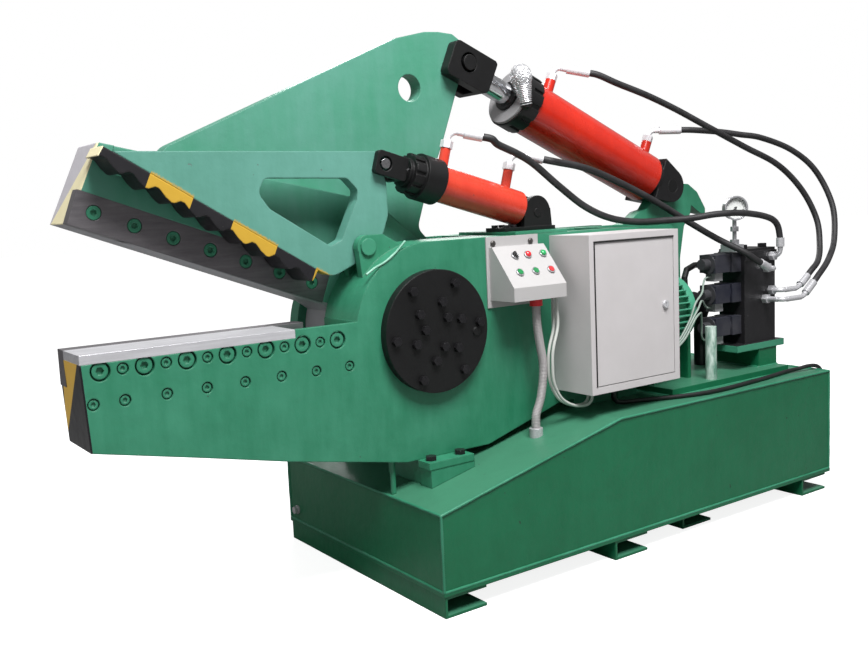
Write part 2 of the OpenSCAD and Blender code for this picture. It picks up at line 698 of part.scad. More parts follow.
module main_cylinder_heads() placed() color(dark) main_frame() {
    // gland with its turned front and its cushion valve
    difference() {
        union() {
            bar_x(main_barrel_r + 13, gland_x[0] + 12, gland_x[1]);
            bar_x(main_barrel_r + 6, gland_x[0], gland_x[0] + 12);
            bar_x(62, gland_x[0] - 12, gland_x[0]);
        }
        bar_x(main_rod_r + run_fit, gland_x[0] - 30, gland_x[1] + 1);
        for (k = [0:11]) rotate([30 * k + 15, 0, 0])
            translate([gland_x[0] + 32, -9, main_barrel_r + 5]) cube([60, 18, 20]);
    }
    // cushion valve rising from the gland's rim
    translate(valve_at) {
        sphere(r = valve_r + 3);
        rotate([0, -valve_lean, 0]) {
            cylinder(r = valve_r, h = 61);
            translate([0, 0, 60]) cylinder(r = valve_r + 8, h = 30);
            translate([0, 0, valve_ball_h]) sphere(r = 38);
        }
    }
    // rear clevis
    difference() {
        union() {
            bar_x(main_barrel_r - 6, barrel_end, barrel_end + 24);
            translate([0, clevis_y, 0]) rotate([90, 0, 0]) linear_extrude(2 * clevis_y) {
                polygon([[barrel_end + 20, -98], [barrel_end + 20, 98], [main_len + 20, 72],
                    [main_len + 20, -72]]);
                translate([main_len, 0]) circle(r = 74);
            }
        }
        translate([barrel_end + 24, -spine_t / 2 - 5, -150]) cube([400, spine_t + 10, 300]);
        translate([main_len, 0, 0]) rotate([90, 0, 0])
            cylinder(r = main_pin_r + 2 + run_fit, h = 300, center = true);
    }
}

// A hose end on a port: nut, bent tube and crimped ferrule, turned round the port
module hose_end(x, h, turn, bend, ferrule_l) translate([x, 0, h]) rotate([0, 0, turn]) {
    cylinder(r = 24, h = elbow_z - 4, $fn = 6);
    cylinder(r = 12, h = elbow_z + 2);
    translate([elbow_bend_r, 0, elbow_z]) rotate([90, 0, 0]) rotate([0, 0, 180 - bend])
        rotate_extrude(angle = bend) translate([elbow_bend_r, 0]) circle(r = elbow_r);
    translate([elbow_bend_r * (1 - cos(bend)), 0, elbow_z + elbow_bend_r * sin(bend)]) rotate([0, bend, 0]) {
        translate([0, 0, -2]) cylinder(r = 12, h = neck_l + 3);
        translate([0, 0, neck_l]) cylinder(r = hose_r + 4, h = ferrule_l);
    }
}

module main_hose_ends() placed() color(steel) main_frame()
    for (k = [0, 1]) hose_end(main_ports[k], main_port_h, hose_turn, main_bends[k], main_ferrule);

// ---- hold-down arm ----

arm_outline = [[-845, 1577, 12], [61, 1572, 20], [92, 1461, 60], [94, 1349, 40], [69, 1283, 40],
    [-40, 1191, 50], [-143, 1147, 60], [-199, 1175, 0], [-623, 1432, 0], [-860, 1576, 0]];
arm_window = [[-377, 1488, 26], [-66, 1482, 30], [-25, 1440, 20], [-31, 1406, 20],
    [-99, 1271, 20], [-144, 1252, 20], [-363, 1387, 30], [-402, 1440, 30]];

module hold_down_arm() placed() color(green) difference() {
    union() {
        plate_xz(arm_y - arm_t / 2, arm_y + arm_t / 2) polygon(outline(arm_outline));
        bar_y(fork_pin, 41, arm_y - arm_t / 2, arm_y + arm_t / 2);
        bar_y(arm_pin, 48, arm_y - arm_t / 2, arm_y + arm_t / 2);
    }
    plate_xz(arm_y - arm_t, arm_y + arm_t) polygon(outline(arm_window));
    bar_y(arm_pin, arm_pin_r + run_fit, arm_y - 100, arm_y + 100);
    bar_y(fork_pin, small_pin_r, arm_y - 100, arm_y + 100);
}

// Toothed foot: saw teeth along a bar under the arm's plate
foot_from = [-889, 1593];
foot_to = [-199, 1175];
foot_angle = atan2(foot_to.y - foot_from.y, foot_to.x - foot_from.x);
foot_l = norm(foot_to - foot_from);
tooth_n = 9;
tooth_pitch = foot_l / tooth_n;

module arm_teeth() placed() color("gold") translate([foot_from.x, jaw_far_y - 4, foot_from.y])
    rotate([0, -foot_angle, 0]) rotate([90, 0, 0]) linear_extrude(jaw_far_y - 4 - arm_y + arm_t / 2)
        polygon(concat([[0, -0.5], [0, -34]],
            [for (k = [0:tooth_n - 1]) each [[k * tooth_pitch + 12, -28], [k * tooth_pitch + 26, -27],
                [(k + 0.6) * tooth_pitch, -40], [(k + 0.86) * tooth_pitch, -46],
                [(k + 0.96) * tooth_pitch, -44]]],
            [[foot_l, -34], [foot_l, -0.5]]));

module arm_top_pin() placed() color(steel) bar_y(fork_pin, small_pin_r, arm_y - 50, arm_y + 50);

// ---- small cylinder ----

module small_rod_fork() placed() color(dark) small_frame() difference() {
    translate([0, 50, 0]) rotate([90, 0, 0]) linear_extrude(100)
        polygon(outline([[-38, -42, 14], [92, -42, 10], [92, 42, 10], [-38, 42, 14]]));
    translate([-39, -arm_t / 2 - 1.5, -50]) cube([105, arm_t + 3, 100]);
    rotate([90, 0, 0]) cylinder(r = small_pin_r + fork_play, h = 200, center = true);
    bar_x(small_rod_r, small_rod_x, 100);
}

module small_rod() placed() color(steel) small_frame() {
    bar_x(small_rod_r, small_rod_x, small_piston_x[0]);
    bar_x(small_bore_r - 0.3, small_piston_x[0], small_piston_x[1]);
}

module small_gland() placed() color(dark) small_frame() difference() {
    union() {
        bar_x(small_barrel_r + 6, small_gland_x[0] + 14, small_gland_x[0] + 60);
        bar_x(small_barrel_r + 17, small_gland_x[0] + 60, small_gland_x[1]);
        bar_x(54, small_gland_x[0], small_gland_x[0] + 14);
    }
    bar_x(small_rod_r + run_fit, small_gland_x[0] - 1, small_gland_x[1] + 1);
    for (k = [0:9]) rotate([36 * k + 18, 0, 0])
        translate([small_gland_x[0] + 10, -7, small_barrel_r]) cube([44, 14, 20]);
}

module small_barrel() placed() color(red) small_frame() difference() {
    union() {
        bar_x(small_barrel_r, small_gland_x[1], small_barrel_end);
        for (x = small_ports) translate([x, 0, small_bore_r + 4])
            cylinder(r = 19, h = small_port_h - small_bore_r - 4);
        translate([0, 25, 0]) rotate([90, 0, 0]) linear_extrude(50) {
            translate([small_len, 0]) circle(r = 44);
            translate([small_barrel_end - 1, -40]) square([small_len - small_barrel_end, 80]);
        }
    }
    bar_x(small_bore_r, small_gland_x[1] - 1, small_barrel_end - 16);
    for (x = small_ports) translate([x, 0, small_bore_r - 12]) cylinder(r = 8, h = 90);
    translate([small_len, 0, 0]) rotate([90, 0, 0])
        cylinder(r = small_pin_r + run_fit, h = 200, center = true);
}

module small_hose_ends() placed() color(steel) small_frame()
    for (x = small_ports) hose_end(x, small_port_h, hose_turn, small_bend, small_ferrule);

module small_cyl_bracket() placed() color(dark) difference() {
    union() {
        for (y = [arm_y - 50, arm_y + 30]) plate_xz(y, y + 20) {
            translate(bracket_pin) circle(r = 66);
            polygon([[706, 1320], [706, bracket_z + 1], [850, bracket_z + 1], [842, 1345]]);
        }
        box([600, arm_y - 60, bracket_z], [856, arm_y + 60, bracket_z + 15]);
    }
    bar_y(bracket_pin, small_pin_r, arm_y - 100, arm_y + 100);
    for (x = bracket_bolt_x) for (y = [arm_y - 35, arm_y + 35])
        translate([x, y, bracket_z - 5]) cylinder(r = 8, h = 30);
}

// Pins fixed to the frame: rear lug, small bracket and arm
module cylinder_pins() placed() color(steel) {
    bar_y(rear_pin, main_pin_r + 2, mid_y - clevis_y, mid_y + clevis_y);
    bar_y(bracket_pin, small_pin_r, arm_y - 52, arm_y + 52);
    bar_y(arm_pin, arm_pin_r, arm_y - arm_t / 2 - arm_gap - 34, arm_y + arm_t / 2 + arm_gap + 32);
    bar_y(arm_pin, 30, arm_y - arm_t / 2 - arm_gap - 38, arm_y - arm_t / 2 - arm_gap - 30);
}

// ---- electrical cabinet ----

// Cable glands in the cabinet's floor, as [x, y, radius of the way through]
gland_at = [[860, 184, signal_r - 2], [860, 162, signal_r - 2], [990, 170, supply_r - 2]];

module cabinet_shell() placed() color("gainsboro") difference() {
    union() {
        difference() {
            box([cab_x, cab_y, cab_z], [cab_x + cab_w, near_y, cab_z + cab_h]);
            box([cab_x + sheet_t, cab_y + sheet_t, cab_z + sheet_t],
                [cab_x + cab_w - sheet_t, near_y - sheet_t, cab_z + cab_h - sheet_t]);
            box([door_x[0] - door_gap, cab_y - 1, door_z[0] - door_gap],
                [door_x[1] + door_gap, cab_y + sheet_t + 1, door_z[1] + door_gap]);
        }
        // pin blocks of the door at its upper and lower corner
        for (z = [door_z[0] - door_gap - 7, door_z[1] + door_gap + 1])
            box([hinge_at.x - 12, cab_y + sheet_t, z], [hinge_at.x + 10, cab_y + 22, z + 6]);
        translate([hinge_at.x, hinge_at.y, door_z[0] - 5]) cylinder(r = 2, h = 9);
        translate([hinge_at.x, hinge_at.y, door_z[1] - 4]) cylinder(r = 2, h = 9);
        for (p = gland_at) translate([p.x, p.y, cab_z - 20]) cylinder(r = p[2] + 6, h = 22);
    }
    // cable entries through the glands in the floor
    for (p = gland_at) translate([p.x, p.y, cab_z - 21]) cylinder(r = p[2], h = 30);
}

module cabinet_door() placed() color("gainsboro") difference() {
    union() {
        box([door_x[0], cab_y, door_z[0]], [door_x[1], cab_y + sheet_t, door_z[1]]);
        for (z = [door_z[0], door_z[1] - sheet_t])
            box([door_x[0] + 2, cab_y, z], [door_x[1], cab_y + 18, z + sheet_t]);
        box([door_x[1] - sheet_t, cab_y, door_z[0]], [door_x[1], cab_y + 18, door_z[1]]);
    }
    for (z = [door_z[0] - 1, door_z[1] - sheet_t - 1])
        translate([hinge_at.x, hinge_at.y, z]) cylinder(r = 2 + run_fit, h = sheet_t + 2);
    bar_y(lock_at, 10 + run_fit, cab_y - 1, cab_y + sheet_t + 1);
    // slot for the lock's tongue in the folded edge
    box([door_x[1] - sheet_t - 1, cab_y + 5, lock_at.y - 62], [door_x[1] + 1, cab_y + 12, lock_at.y + 12]);
}

module door_lock() placed() color(steel) difference() {
    union() {
        bar_y(lock_at, 15, cab_y - 9, cab_y - 0.3);
        bar_y(lock_at, 10, cab_y - 1, cab_y + 20);
        box([lock_at.x - 9, cab_y + 7, lock_at.y - 68], [lock_at.x + 9, cab_y + 10, lock_at.y + 9]);
    }
    box([lock_at.x - 2, cab_y - 10, lock_at.y - 7], [lock_at.x + 2, cab_y - 4, lock_at.y + 7]);
}

// Mounting plate with its contactors and breakers
module cabinet_switchgear() placed() color("lightgray") {
    box([cab_x + 40, near_y - sheet_t - 12, cab_z + 40],
        [cab_x + cab_w - 40, near_y - sheet_t - 4, cab_z + cab_h - 40]);
    for (x = [cab_x + 60, cab_x + cab_w - 80]) for (z = [cab_z + 60, cab_z + cab_h - 80])
        translate([x, near_y - sheet_t - 4, z]) rotate([-90, 0, 0]) cylinder(r = 8, h = 4);
    for (k = [0:3]) box([cab_x + 70 + 90 * k, near_y - 85, 1080],
        [cab_x + 140 + 90 * k, near_y - sheet_t - 12, 1160]);
    for (k = [0:2]) box([cab_x + 70 + 110 * k, near_y - 95, 900],
        [cab_x + 160 + 110 * k, near_y - sheet_t - 12, 1010]);
    box([cab_x + 70, near_y - 50, 740], [cab_x + 400, near_y - sheet_t - 12, 790]);
}

// ---- control box ----

// Frame on the sloping face: X along it, Y up the slope, Z out of it
module on_face(x, up) translate([x, face_at[0], face_at[1]]) rotate([face_angle, 0, 0])
    translate([0, up, 0]) children();

top_row = [[543, 142], [605, 142], [680, 142]];
low_row = [[524, 66], [600, 66], [676, 66]];

module control_box() placed() color("gainsboro") difference() {
    union() {
        box([447, near_y - 5, 987], [700, near_y, frame_top]);
        translate([460, 0, 0]) rotate([90, 0, 90]) linear_extrude(255)
            polygon([[face_at[0], 1015], [face_at[0], face_at[1]], [near_y - 22, 1212], [near_y - 5, 1212],
                [near_y - 5, 1015]]);
        for (p = concat(top_row, low_row)) on_face(p.x, p.y) translate([0, 0, -3]) cylinder(r = 15, h = 7);
        on_face(top_row[1].x, top_row[1].y) cylinder(r = 10, h = 12);
        on_face(top_row[2].x, top_row[2].y) cylinder(r = 10, h = 10);
        // cable gland under the box
        translate([620, 200, 985]) cylinder(r = 24, h = 30);
    }
    for (p = concat([top_row[0]], low_row)) on_face(p.x, p.y)
        translate([0, 0, -24]) cylinder(r = button_r, h = 40);
    translate([620, 200, 984]) cylinder(r = 12, h = 20);
}

module push_button(p) placed() on_face(p.x, p.y) translate([0, 0, -14]) cylinder(r = button_r - 0.4, h = 22);

module button_start() color("green") push_button(low_row[0]);
module button_up() color("green") push_button(low_row[1]);
module button_stop() color("red") push_button(low_row[2]);

module selector() placed() color("black") on_face(top_row[0].x, top_row[0].y) {
    translate([0, 0, -14]) cylinder(r = button_r - run_fit, h = 20);
    translate([-4, -13, 5]) cube([8, 26, 9]);
}

// ---- pump set and valves ----

module at_motor() translate([0, motor_axis[0], motor_axis[1]]) children();

module motor_frame() placed() color("seagreen") at_motor() difference() {
    union() {
        bar_x(motor_r - 32, motor_x[0] + 40, motor_x[1] - 40);
        for (k = [0:35]) rotate([10 * k + 5, 0, 0])
            translate([motor_x[0] + 40, -3, motor_r - 40]) cube([motor_x[1] - motor_x[0] - 80, 6, 34]);
        bar_x(motor_r - 14, motor_x[0], motor_x[0] + 40);
        bar_x(motor_r - 14, motor_x[1] - 40, motor_x[1]);
        // terminal boxes
        translate([motor_x[1] - 160, -60, motor_r - 50]) cube([60, 110, 116]);
        translate([motor_x[1] - 90, -60, motor_r - 50]) cube([80, 110, 76]);
    }
    bar_x(motor_r - 50, motor_x[0] + 12, motor_x[1] - 12);
    bar_x(22 + run_fit, motor_x[0] + 8, motor_x[1] + 1);
}

module motor_rotor() placed() color(steel) at_motor() {
    bar_x(22, motor_x[0] + 9, motor_x[1] + 40);
    bar_x(motor_r - 70, motor_x[0] + 60, motor_x[1] - 60);
    for (k = [0:7]) rotate([45 * k, 0, 0])
        translate([motor_x[1] - 60, -2, 20]) cube([30, 4, motor_r - 92]);
}

module pump_set() placed() color(dark) at_motor() {
    // bell housing round the coupling, and the pump behind it
    difference() {
        bar_x(100, motor_x[1], motor_x[1] + 60);
        bar_x(80, motor_x[1] - 1, motor_x[1] + 50);
    }
    difference() {
        bar_x(62, motor_x[1] + 60, motor_x[1] + 170);
        translate([motor_x[1] + 110, 0, 0]) cylinder(r = 14, h = 80);
    }
    translate([motor_x[1] + 20, -70, -motor_axis[1] + deck_z]) cube([20, 140, motor_axis[1] - deck_z - 94]);
}

module manifold_block() placed() color(dark) difference() {
    union() {
        box([block_x[0], block_y[0], block_z[0]], [block_x[1], block_y[1], block_z[1]]);
        box([1788, 185, 660], [2126, 355, block_z[0]]);
        box([block_x[0], block_y[0] - 6, block_z[1] - 50], [block_x[1] + 6, block_y[1] + 6, block_z[1] - 12]);
    }
    for (x = [block_x[0] + 40, block_x[1] - 40])
        translate([x, block_y[0] + 40, block_z[1] - 40]) cylinder(r = 9, h = 50);
    for (p = ports) {
        bar_y(p, 10, block_y[0] - 10, block_y[0] + 40);
        bar_y(p, 27, block_y[0] - 10, block_y[0]);
    }
}

module solenoid_valves() placed() color("midnightblue") for (z = valve_z) {
    box([block_x[0] - 62, 220, z - 42], [block_x[0], 320, z + 42]);
    translate([block_x[0] - 172, 270, z]) bar_x(44, 0, 110);
    box([block_x[0] - 168, 226, z - 40], [block_x[0] - 70, 314, z + 40]);
    translate([block_x[0] - 212, 270, z]) bar_x(24, 0, 40);
    box([block_x[0] - 150, 245, z - 78], [block_x[0] - 96, 295, z - 40]);
}

module at_gauge() translate(gauge_at) rotate([0, 0, gauge_turn]) rotate([90, 0, 0]) children();

module gauge_case() placed() color(steel) {
    at_gauge() difference() {
        union() {
            translate([0, 0, -16]) cylinder(r = 50, h = 38);
            translate([0, 0, 18]) cylinder(r = 54, h = 6);
        }
        translate([0, 0, 8]) cylinder(r = 47, h = 20);
    }
    at_gauge() cylinder(r = 2, h = 13);
    // stem with its nuts, down to the valve block
    translate([gauge_at.x, gauge_at.y, 0]) {
        translate([0, 0, 1140]) cylinder(r = 9, h = gauge_at.z - 48 - 1140);
        translate([0, 0, 1200]) cylinder(r = 18, h = 22, $fn = 6);
        translate([0, 0, 1140]) cylinder(r = 20, h = 24, $fn = 6);
    }
    box([gauge_at.x - 22, gauge_at.y - 22, 1108], [block_x[0], gauge_at.y + 60, 1142]);
}

module gauge_needle() placed() color("black") at_gauge() translate([0, 0, 10]) difference() {
    union() {
        cylinder(r = 6, h = 2);
        rotate([0, 0, 220]) translate([-10, -1.5, 0]) cube([48, 3, 2]);
    }
    translate([0, 0, -1]) cylinder(r = 2 + run_fit, h = 5);
}

// Pump pipes: the black return pipe from the deck and the pressure pipe of the pump
return_pipe = [[1840, 440, 575], [1840, 440, 640], [1840, 440, 720], [1842, 440, 780],
    [1862, 430, 840], [1900, 410, 872], [1945, 390, 880], [1966, 368, 880],
    [1970, 350, 880], [1970, 340, 880]];
pump_pipe = [[1670, 380, 932], [1670, 380, 965], [1674, 385, 1000], [1698, 392, 1034],
    [1760, 400, 1050], [1900, 400, 1050], [1945, 392, 1050], [1968, 370, 1050], [1970, 350, 1050],
    [1970, 340, 1050]];

module hydraulic_pipes() placed() color("black") {
    tube(return_pipe, 27, 1, 12);
    tube(pump_pipe, 14, 1, 12);
}

// A port fitting on the near face: nut, bent tube and ferrule that rises at an angle
module port_fitting(p, out, reach, rise, ferrule_l) translate([p.x, block_y[0], p.y]) {
    rotate([90, 0, 0]) cylinder(r = 22, h = 24, $fn = 6);
    rotate([90, 0, 0]) cylinder(r = 12, h = out - 28);
    translate([30, 30 - out, 0]) rotate([0, 0, 180])
        rotate_extrude(angle = 90) translate([30, 0]) circle(r = elbow_r);
    translate([28, -out, 0]) rotate([0, 90, 0]) cylinder(r = 12, h = reach + 4);
    translate([30 + reach, -out, 50]) rotate([90, 0, 0]) rotate([0, 0, -90])
        rotate_extrude(angle = rise) translate([50, 0]) circle(r = elbow_r);
    translate([30 + reach + 50 * sin(rise), -out, 50 - 50 * cos(rise)]) rotate([0, 90 - rise, 0]) {
        translate([0, 0, -2]) cylinder(r = 12, h = 15);
        translate([0, 0, 12]) cylinder(r = hose_r + 4, h = ferrule_l);
    }
}

// A port fitting that bends straight up
module rising_fitting(p, out, ferrule_l) translate([p.x, block_y[0], p.y]) {
    rotate([90, 0, 0]) cylinder(r = 22, h = 24, $fn = 6);
    rotate([90, 0, 0]) cylinder(r = 12, h = out - 28);
    translate([0, 30 - out, 30]) rotate([90, 0, 90]) rotate([0, 0, 180])
        rotate_extrude(angle = 90) translate([30, 0]) circle(r = elbow_r);
    translate([0, -out, 28]) cylinder(r = 12, h = 16);
    translate([0, -out, 42]) cylinder(r = hose_r + 4, h = ferrule_l);
}

module pipe_fittings() placed() color(steel) {
    port_fitting(ports[0], 60, 75, 34, 66);
    port_fitting(ports[1], 100, 100, 36, 76);
    rising_fitting(ports[2], 50, 40);
    translate([2 * ports[3].x, 0, 0]) mirror([1, 0, 0]) port_fitting(ports[3], 60, 6, 25, 54);
    // sight tube on the deck
    translate([1580, 165, deck_z]) cylinder(r = 24, h = 230);
    // gland where the conduit enters the tank
    difference() {
        translate([600, 200, slope_z(600) - 6]) cylinder(r = 26, h = 520 - slope_z(600) + 6);
        plate_xz(0, tank_w) tank_profile(0);
    }
    // drain plug in the tank's front
    translate([-6, tank_w - 62, foot_h + 62]) rotate([0, 90, 0]) {
        cylinder(r = 18, h = 14);
        translate([0, 0, -14]) cylinder(r = 16, h = 14, $fn = 6);
    }
}

// ---- cords ----

module hose_main_front() placed() color("black") tube(route_main_front, hose_r, 2);
module hose_main_rear() placed() color("black") tube(route_main_rear, hose_r, 2);
module hose_small_front() placed() color("black") tube(route_small_front, hose_r, 2);
module hose_small_rear() placed() color("black") tube(route_small_rear, hose_r, 2);
module conduit() placed() color("gray") tube(route_conduit, conduit_r, 1);
module signal_cables() placed() color("white") {
    tube(route_signal, signal_r, 1);
    translate([0, -22, 0]) tube(route_signal, signal_r, 1);
    for (k = [0:2]) tube(route_valve(k), signal_r, 1);
}
module supply_cable() placed() color("black") tube(route_supply, supply_r, 1);
module supply_coil() placed() color("black") translate([coil_at.x, coil_at.y, 0]) {
    rotate_extrude() translate([coil_r - 2 * supply_r, 0]) square([4 * supply_r, coil_h]);
    translate([-200, coil_r + supply_r, plug_r]) bar_x(plug_r, 0, plug_l);
}

// ---- all pieces ----

tank();
foot_channels();
deck_plate();
lower_jaw_frame();
far_side_plate();
rear_frame();
seat_pads();
frame_bolts();
jaw_liner();
lower_blade();
jaw_screws();
main_pin();
pin_bushes();
pin_covers();
cylinder_pins();
small_cyl_bracket();
cabinet_shell();
cabinet_switchgear();
control_box();
conduit();
signal_cables();
motor_frame();
pump_set();
manifold_block();
solenoid_valves();
gauge_case();
hydraulic_pipes();
pipe_fittings();
hose_main_front();
hose_main_rear();
hose_small_front();
hose_small_rear();
supply_cable();
supply_coil();
upper_jaw();
upper_blade();
upper_blade_bolts();
jaw_bush();
jaw_clevis_pin();
main_barrel();
main_cylinder_heads();
main_hose_ends();
main_rod();
main_rod_fork();
hold_down_arm();
arm_teeth();
arm_top_pin();
small_barrel();
small_gland();
small_hose_ends();
small_rod();
small_rod_fork();
cabinet_door();
door_lock();
button_start();
button_up();
button_stop();
selector();
gauge_needle();
motor_rotor();
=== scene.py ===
"""Finish of the alligator shear: paint, bare metal, hoses, cables, dial and lamps round its CAD frame."""

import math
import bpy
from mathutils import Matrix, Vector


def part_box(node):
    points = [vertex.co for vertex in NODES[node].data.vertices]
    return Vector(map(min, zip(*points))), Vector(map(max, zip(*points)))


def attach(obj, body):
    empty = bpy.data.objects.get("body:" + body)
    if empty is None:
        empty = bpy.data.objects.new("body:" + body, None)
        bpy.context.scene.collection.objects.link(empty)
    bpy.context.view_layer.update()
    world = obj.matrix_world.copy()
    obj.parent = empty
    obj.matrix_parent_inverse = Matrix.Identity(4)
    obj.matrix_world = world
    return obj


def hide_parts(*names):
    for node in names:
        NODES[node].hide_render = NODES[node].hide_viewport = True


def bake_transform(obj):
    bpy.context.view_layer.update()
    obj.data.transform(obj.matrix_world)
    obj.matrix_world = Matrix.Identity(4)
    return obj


bl_info = {
    "name": "Alligator shear finish",
    "version": (1, 0, 0),
    "blender": (4, 5, 0),
    "location": "View3D > Sidebar > Shear",
    "description": "Paints and details a hydraulic alligator shear round its CAD frame",
    "category": "Object",
}

import bpy
import numpy as np
from mathutils import Matrix, Vector

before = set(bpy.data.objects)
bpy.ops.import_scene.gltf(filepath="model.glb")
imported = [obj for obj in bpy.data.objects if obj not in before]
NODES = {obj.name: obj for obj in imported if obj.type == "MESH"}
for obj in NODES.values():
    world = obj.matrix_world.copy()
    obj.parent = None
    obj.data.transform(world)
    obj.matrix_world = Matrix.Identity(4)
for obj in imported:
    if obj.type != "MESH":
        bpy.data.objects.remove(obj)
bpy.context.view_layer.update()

# The tank's skirt starts 4 mm outside the corner that all sizes are measured from.
SKIRT = 0.004
CORNER = np.array([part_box("tank")[0].x + SKIRT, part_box("tank")[0].y + SKIRT, 0.0])


def at(points):
    """Points in millimetres from the tank's front near corner, as metres in the frame."""
    return np.asarray(points, float) / 1000.0 + CORNER


# ---- sizes shared with the CAD frame, in millimetres ----
MID_Y = 600.0
ARM_Y = 400.0
JAW_PIN, REAR_PIN = (595.0, 1920.0), (1745.0, 1415.0)
FORK_PIN, BRACKET_PIN = (80.0, 1528.0), (775.0, 1330.0)
MAIN_TURN = math.atan2(REAR_PIN[1] - JAW_PIN[1], REAR_PIN[0] - JAW_PIN[0])
SMALL_TURN = math.atan2(BRACKET_PIN[1] - FORK_PIN[1], BRACKET_PIN[0] - FORK_PIN[0])
HOSE_TURN = math.radians(-30)
PORTS = ((2043.0, 922.0), (1999.0, 885.0), (2050.0, 1078.0), (2008.0, 1026.0))
BLOCK_Y = 200.0
FACE_TURN = math.atan2(146, 120)
FACE_AT = (133.0, 1066.0)


def swung(pin, turn, y, local):
    """Local points [along, across, up] of a cylinder, turned in X and Z by its angle about its pin."""
    p = np.atleast_2d(np.asarray(local, float))
    c, s = math.cos(turn), math.sin(turn)
    return np.stack([pin[0] + p[:, 0] * c - p[:, 2] * s, y + p[:, 1], pin[1] + p[:, 0] * s + p[:, 2] * c], 1)


def hose_tip(x, height, bend, straight):
    """Place on a bent hose end: an elbow of radius 35 mm that starts 32 mm up, then straight ahead."""
    b = math.radians(bend)
    out = 35 - 35 * math.cos(b) + straight * math.sin(b)
    up = height + 32 + 35 * math.sin(b) + straight * math.cos(b)
    return (x + out * math.cos(HOSE_TURN), out * math.sin(HOSE_TURN), up)


def main_tip(x, bend, past):
    """Past the end of a main cylinder's ferrule, whose neck is 22 mm and which is 100 mm long."""
    return swung(JAW_PIN, MAIN_TURN, MID_Y, hose_tip(x, 162, bend, 122 + past))[0]


def small_tip(x, past):
    """Past the end of a small cylinder's ferrule, which is 70 mm long."""
    return swung(FORK_PIN, SMALL_TURN, ARM_Y, hose_tip(x, 134, 89, 92 + past))[0]


def port_tip(port, out, reach, rise, straight, side=1):
    """End of a fitting on the valve block: out, bent along X, then rising at an angle."""
    r = math.radians(rise)
    along = 30 + reach + 50 * math.sin(r) + straight * math.cos(r)
    return (port[0] + side * along, BLOCK_Y - out, port[1] + 50 - 50 * math.cos(r) + straight * math.sin(r))


# Routes of the hoses and cables, from where each leaves the machine
HOSES = {
    "hose_main_front": [main_tip(472, 81, -12), main_tip(472, 81, 40), (1373, 482, 1861), (1530, 462, 1814),
        (1689, 438, 1755), (1842, 405, 1685), (2083, 370, 1584), (2294, 335, 1494), (2436, 300, 1369),
        (2500, 262, 1225), (2462, 220, 1105), (2372, 170, 1035),
        port_tip(PORTS[0], 60, 75, 34, 118), port_tip(PORTS[0], 60, 75, 34, 66)],
    "hose_main_rear": [main_tip(1112, 70, -12), main_tip(1112, 70, 40), (1945, 494, 1666), (2058, 474, 1658),
        (2163, 450, 1645), (2289, 420, 1627), (2464, 375, 1565), (2586, 325, 1460), (2636, 265, 1290),
        (2560, 205, 1130), (2410, 140, 1038),
        port_tip(PORTS[1], 100, 100, 36, 128), port_tip(PORTS[1], 100, 100, 36, 76)],
    "hose_small_front": [small_tip(272, -12), small_tip(272, 35), (570, 328, 1590), (656, 328, 1558),
        (738, 326, 1518), (871, 322, 1425), (1003, 318, 1342), (1142, 314, 1290), (1293, 306, 1268),
        (1443, 285, 1267), (1554, 238, 1271), (1647, 185, 1283), (1770, 159, 1283), (1880, 156, 1272),
        (1955, 154, 1258), (2005, 152, 1240), (2036, 151, 1208), (2050, 150, 1148)],
    "hose_small_rear": [small_tip(580, -12), small_tip(580, 35), (884, 332, 1520), (989, 334, 1504),
        (1096, 334, 1476), (1259, 332, 1418), (1422, 322, 1348), (1582, 302, 1265), (1714, 240, 1177),
        (1800, 160, 1112), port_tip(PORTS[3], 60, 6, 25, 106, -1), port_tip(PORTS[3], 60, 6, 25, 54, -1)],
}
CONDUIT = [(620, 200, 985), (620, 200, 955), (623, 200, 900), (634, 200, 830), (645, 200, 765),
    (642, 200, 700), (627, 200, 630), (604, 200, 575), (600, 200, 548), (600, 200, 520)]
SIGNAL = [(702, 200, 1014), (704, 200, 980), (700, 194, 900), (667, 186, 820), (659, 184, 760),
    (664, 184, 690), (700, 184, 625), (760, 184, 588), (825, 184, 578), (856, 184, 592), (860, 184, 616)]
SUPPLY = [(990, 170, 617), (990, 170, 599), (994, 173, 579), (1010, 176, 563), (1045, 172, 556),
    (1129, 145, 555), (1291, 80, 555), (1468, 48, 555), (1793, 70, 555), (2000, 95, 556),
    (2090, 86, 560), (2160, 74, 566), (2212, 66, 557), (2242, 64, 522), (2252, 64, 472),
    (2246, 66, 400), (2240, 70, 260), (2238, 82, 150), (2238, 118, 68), (2238, 185, 22),
    (2238, 290, 10), (2238, 600, 10), (2236, 1000, 10), (2235, 1200, 10), (2238, 1266, 10), (2243, 1320, 10)]
# The valve cables leave the cabinet's side together and part for their connectors
VALVE_START = [(1256, 690), (1300, 700), (1360, 720), (1425, 758), (1458, 789), (1504, 845)]
VALVE_ENDS = [
    [(1560, 203, 862), (1598, 230, 846), (1624, 250, 795), (1638, 262, 748), (1665, 270, 726),
        (1710, 270, 721)],
    [(1552, 207, 884), (1592, 226, 908), (1630, 246, 902), (1662, 262, 882), (1686, 270, 869),
        (1710, 270, 867)],
    [(1540, 213, 905), (1594, 222, 945), (1628, 242, 978), (1662, 262, 998), (1688, 270, 1003),
        (1710, 270, 1003)]]
VALVE_Y, VALVE_PITCH = 184.0, 13.0
COIL_AT, CABLE_R = (2131.0, 1350.0), 9.0


# ---- colours and nodes ----

def tint(hex_code):
    """A colour given as sRGB hex, as the linear values that shaders use."""
    v = np.array([int(hex_code[i:i + 2], 16) for i in (1, 3, 5)]) / 255.0
    return (*np.where(v <= 0.04045, v / 12.92, ((v + 0.055) / 1.055) ** 2.4), 1.0)


def put(tree, value, socket):
    """Links a socket to an input, or sets the input to a number, linear colour or hex colour."""
    if isinstance(value, bpy.types.NodeSocket):
        tree.links.new(value, socket)
    else:
        socket.default_value = tint(value) if isinstance(value, str) else value


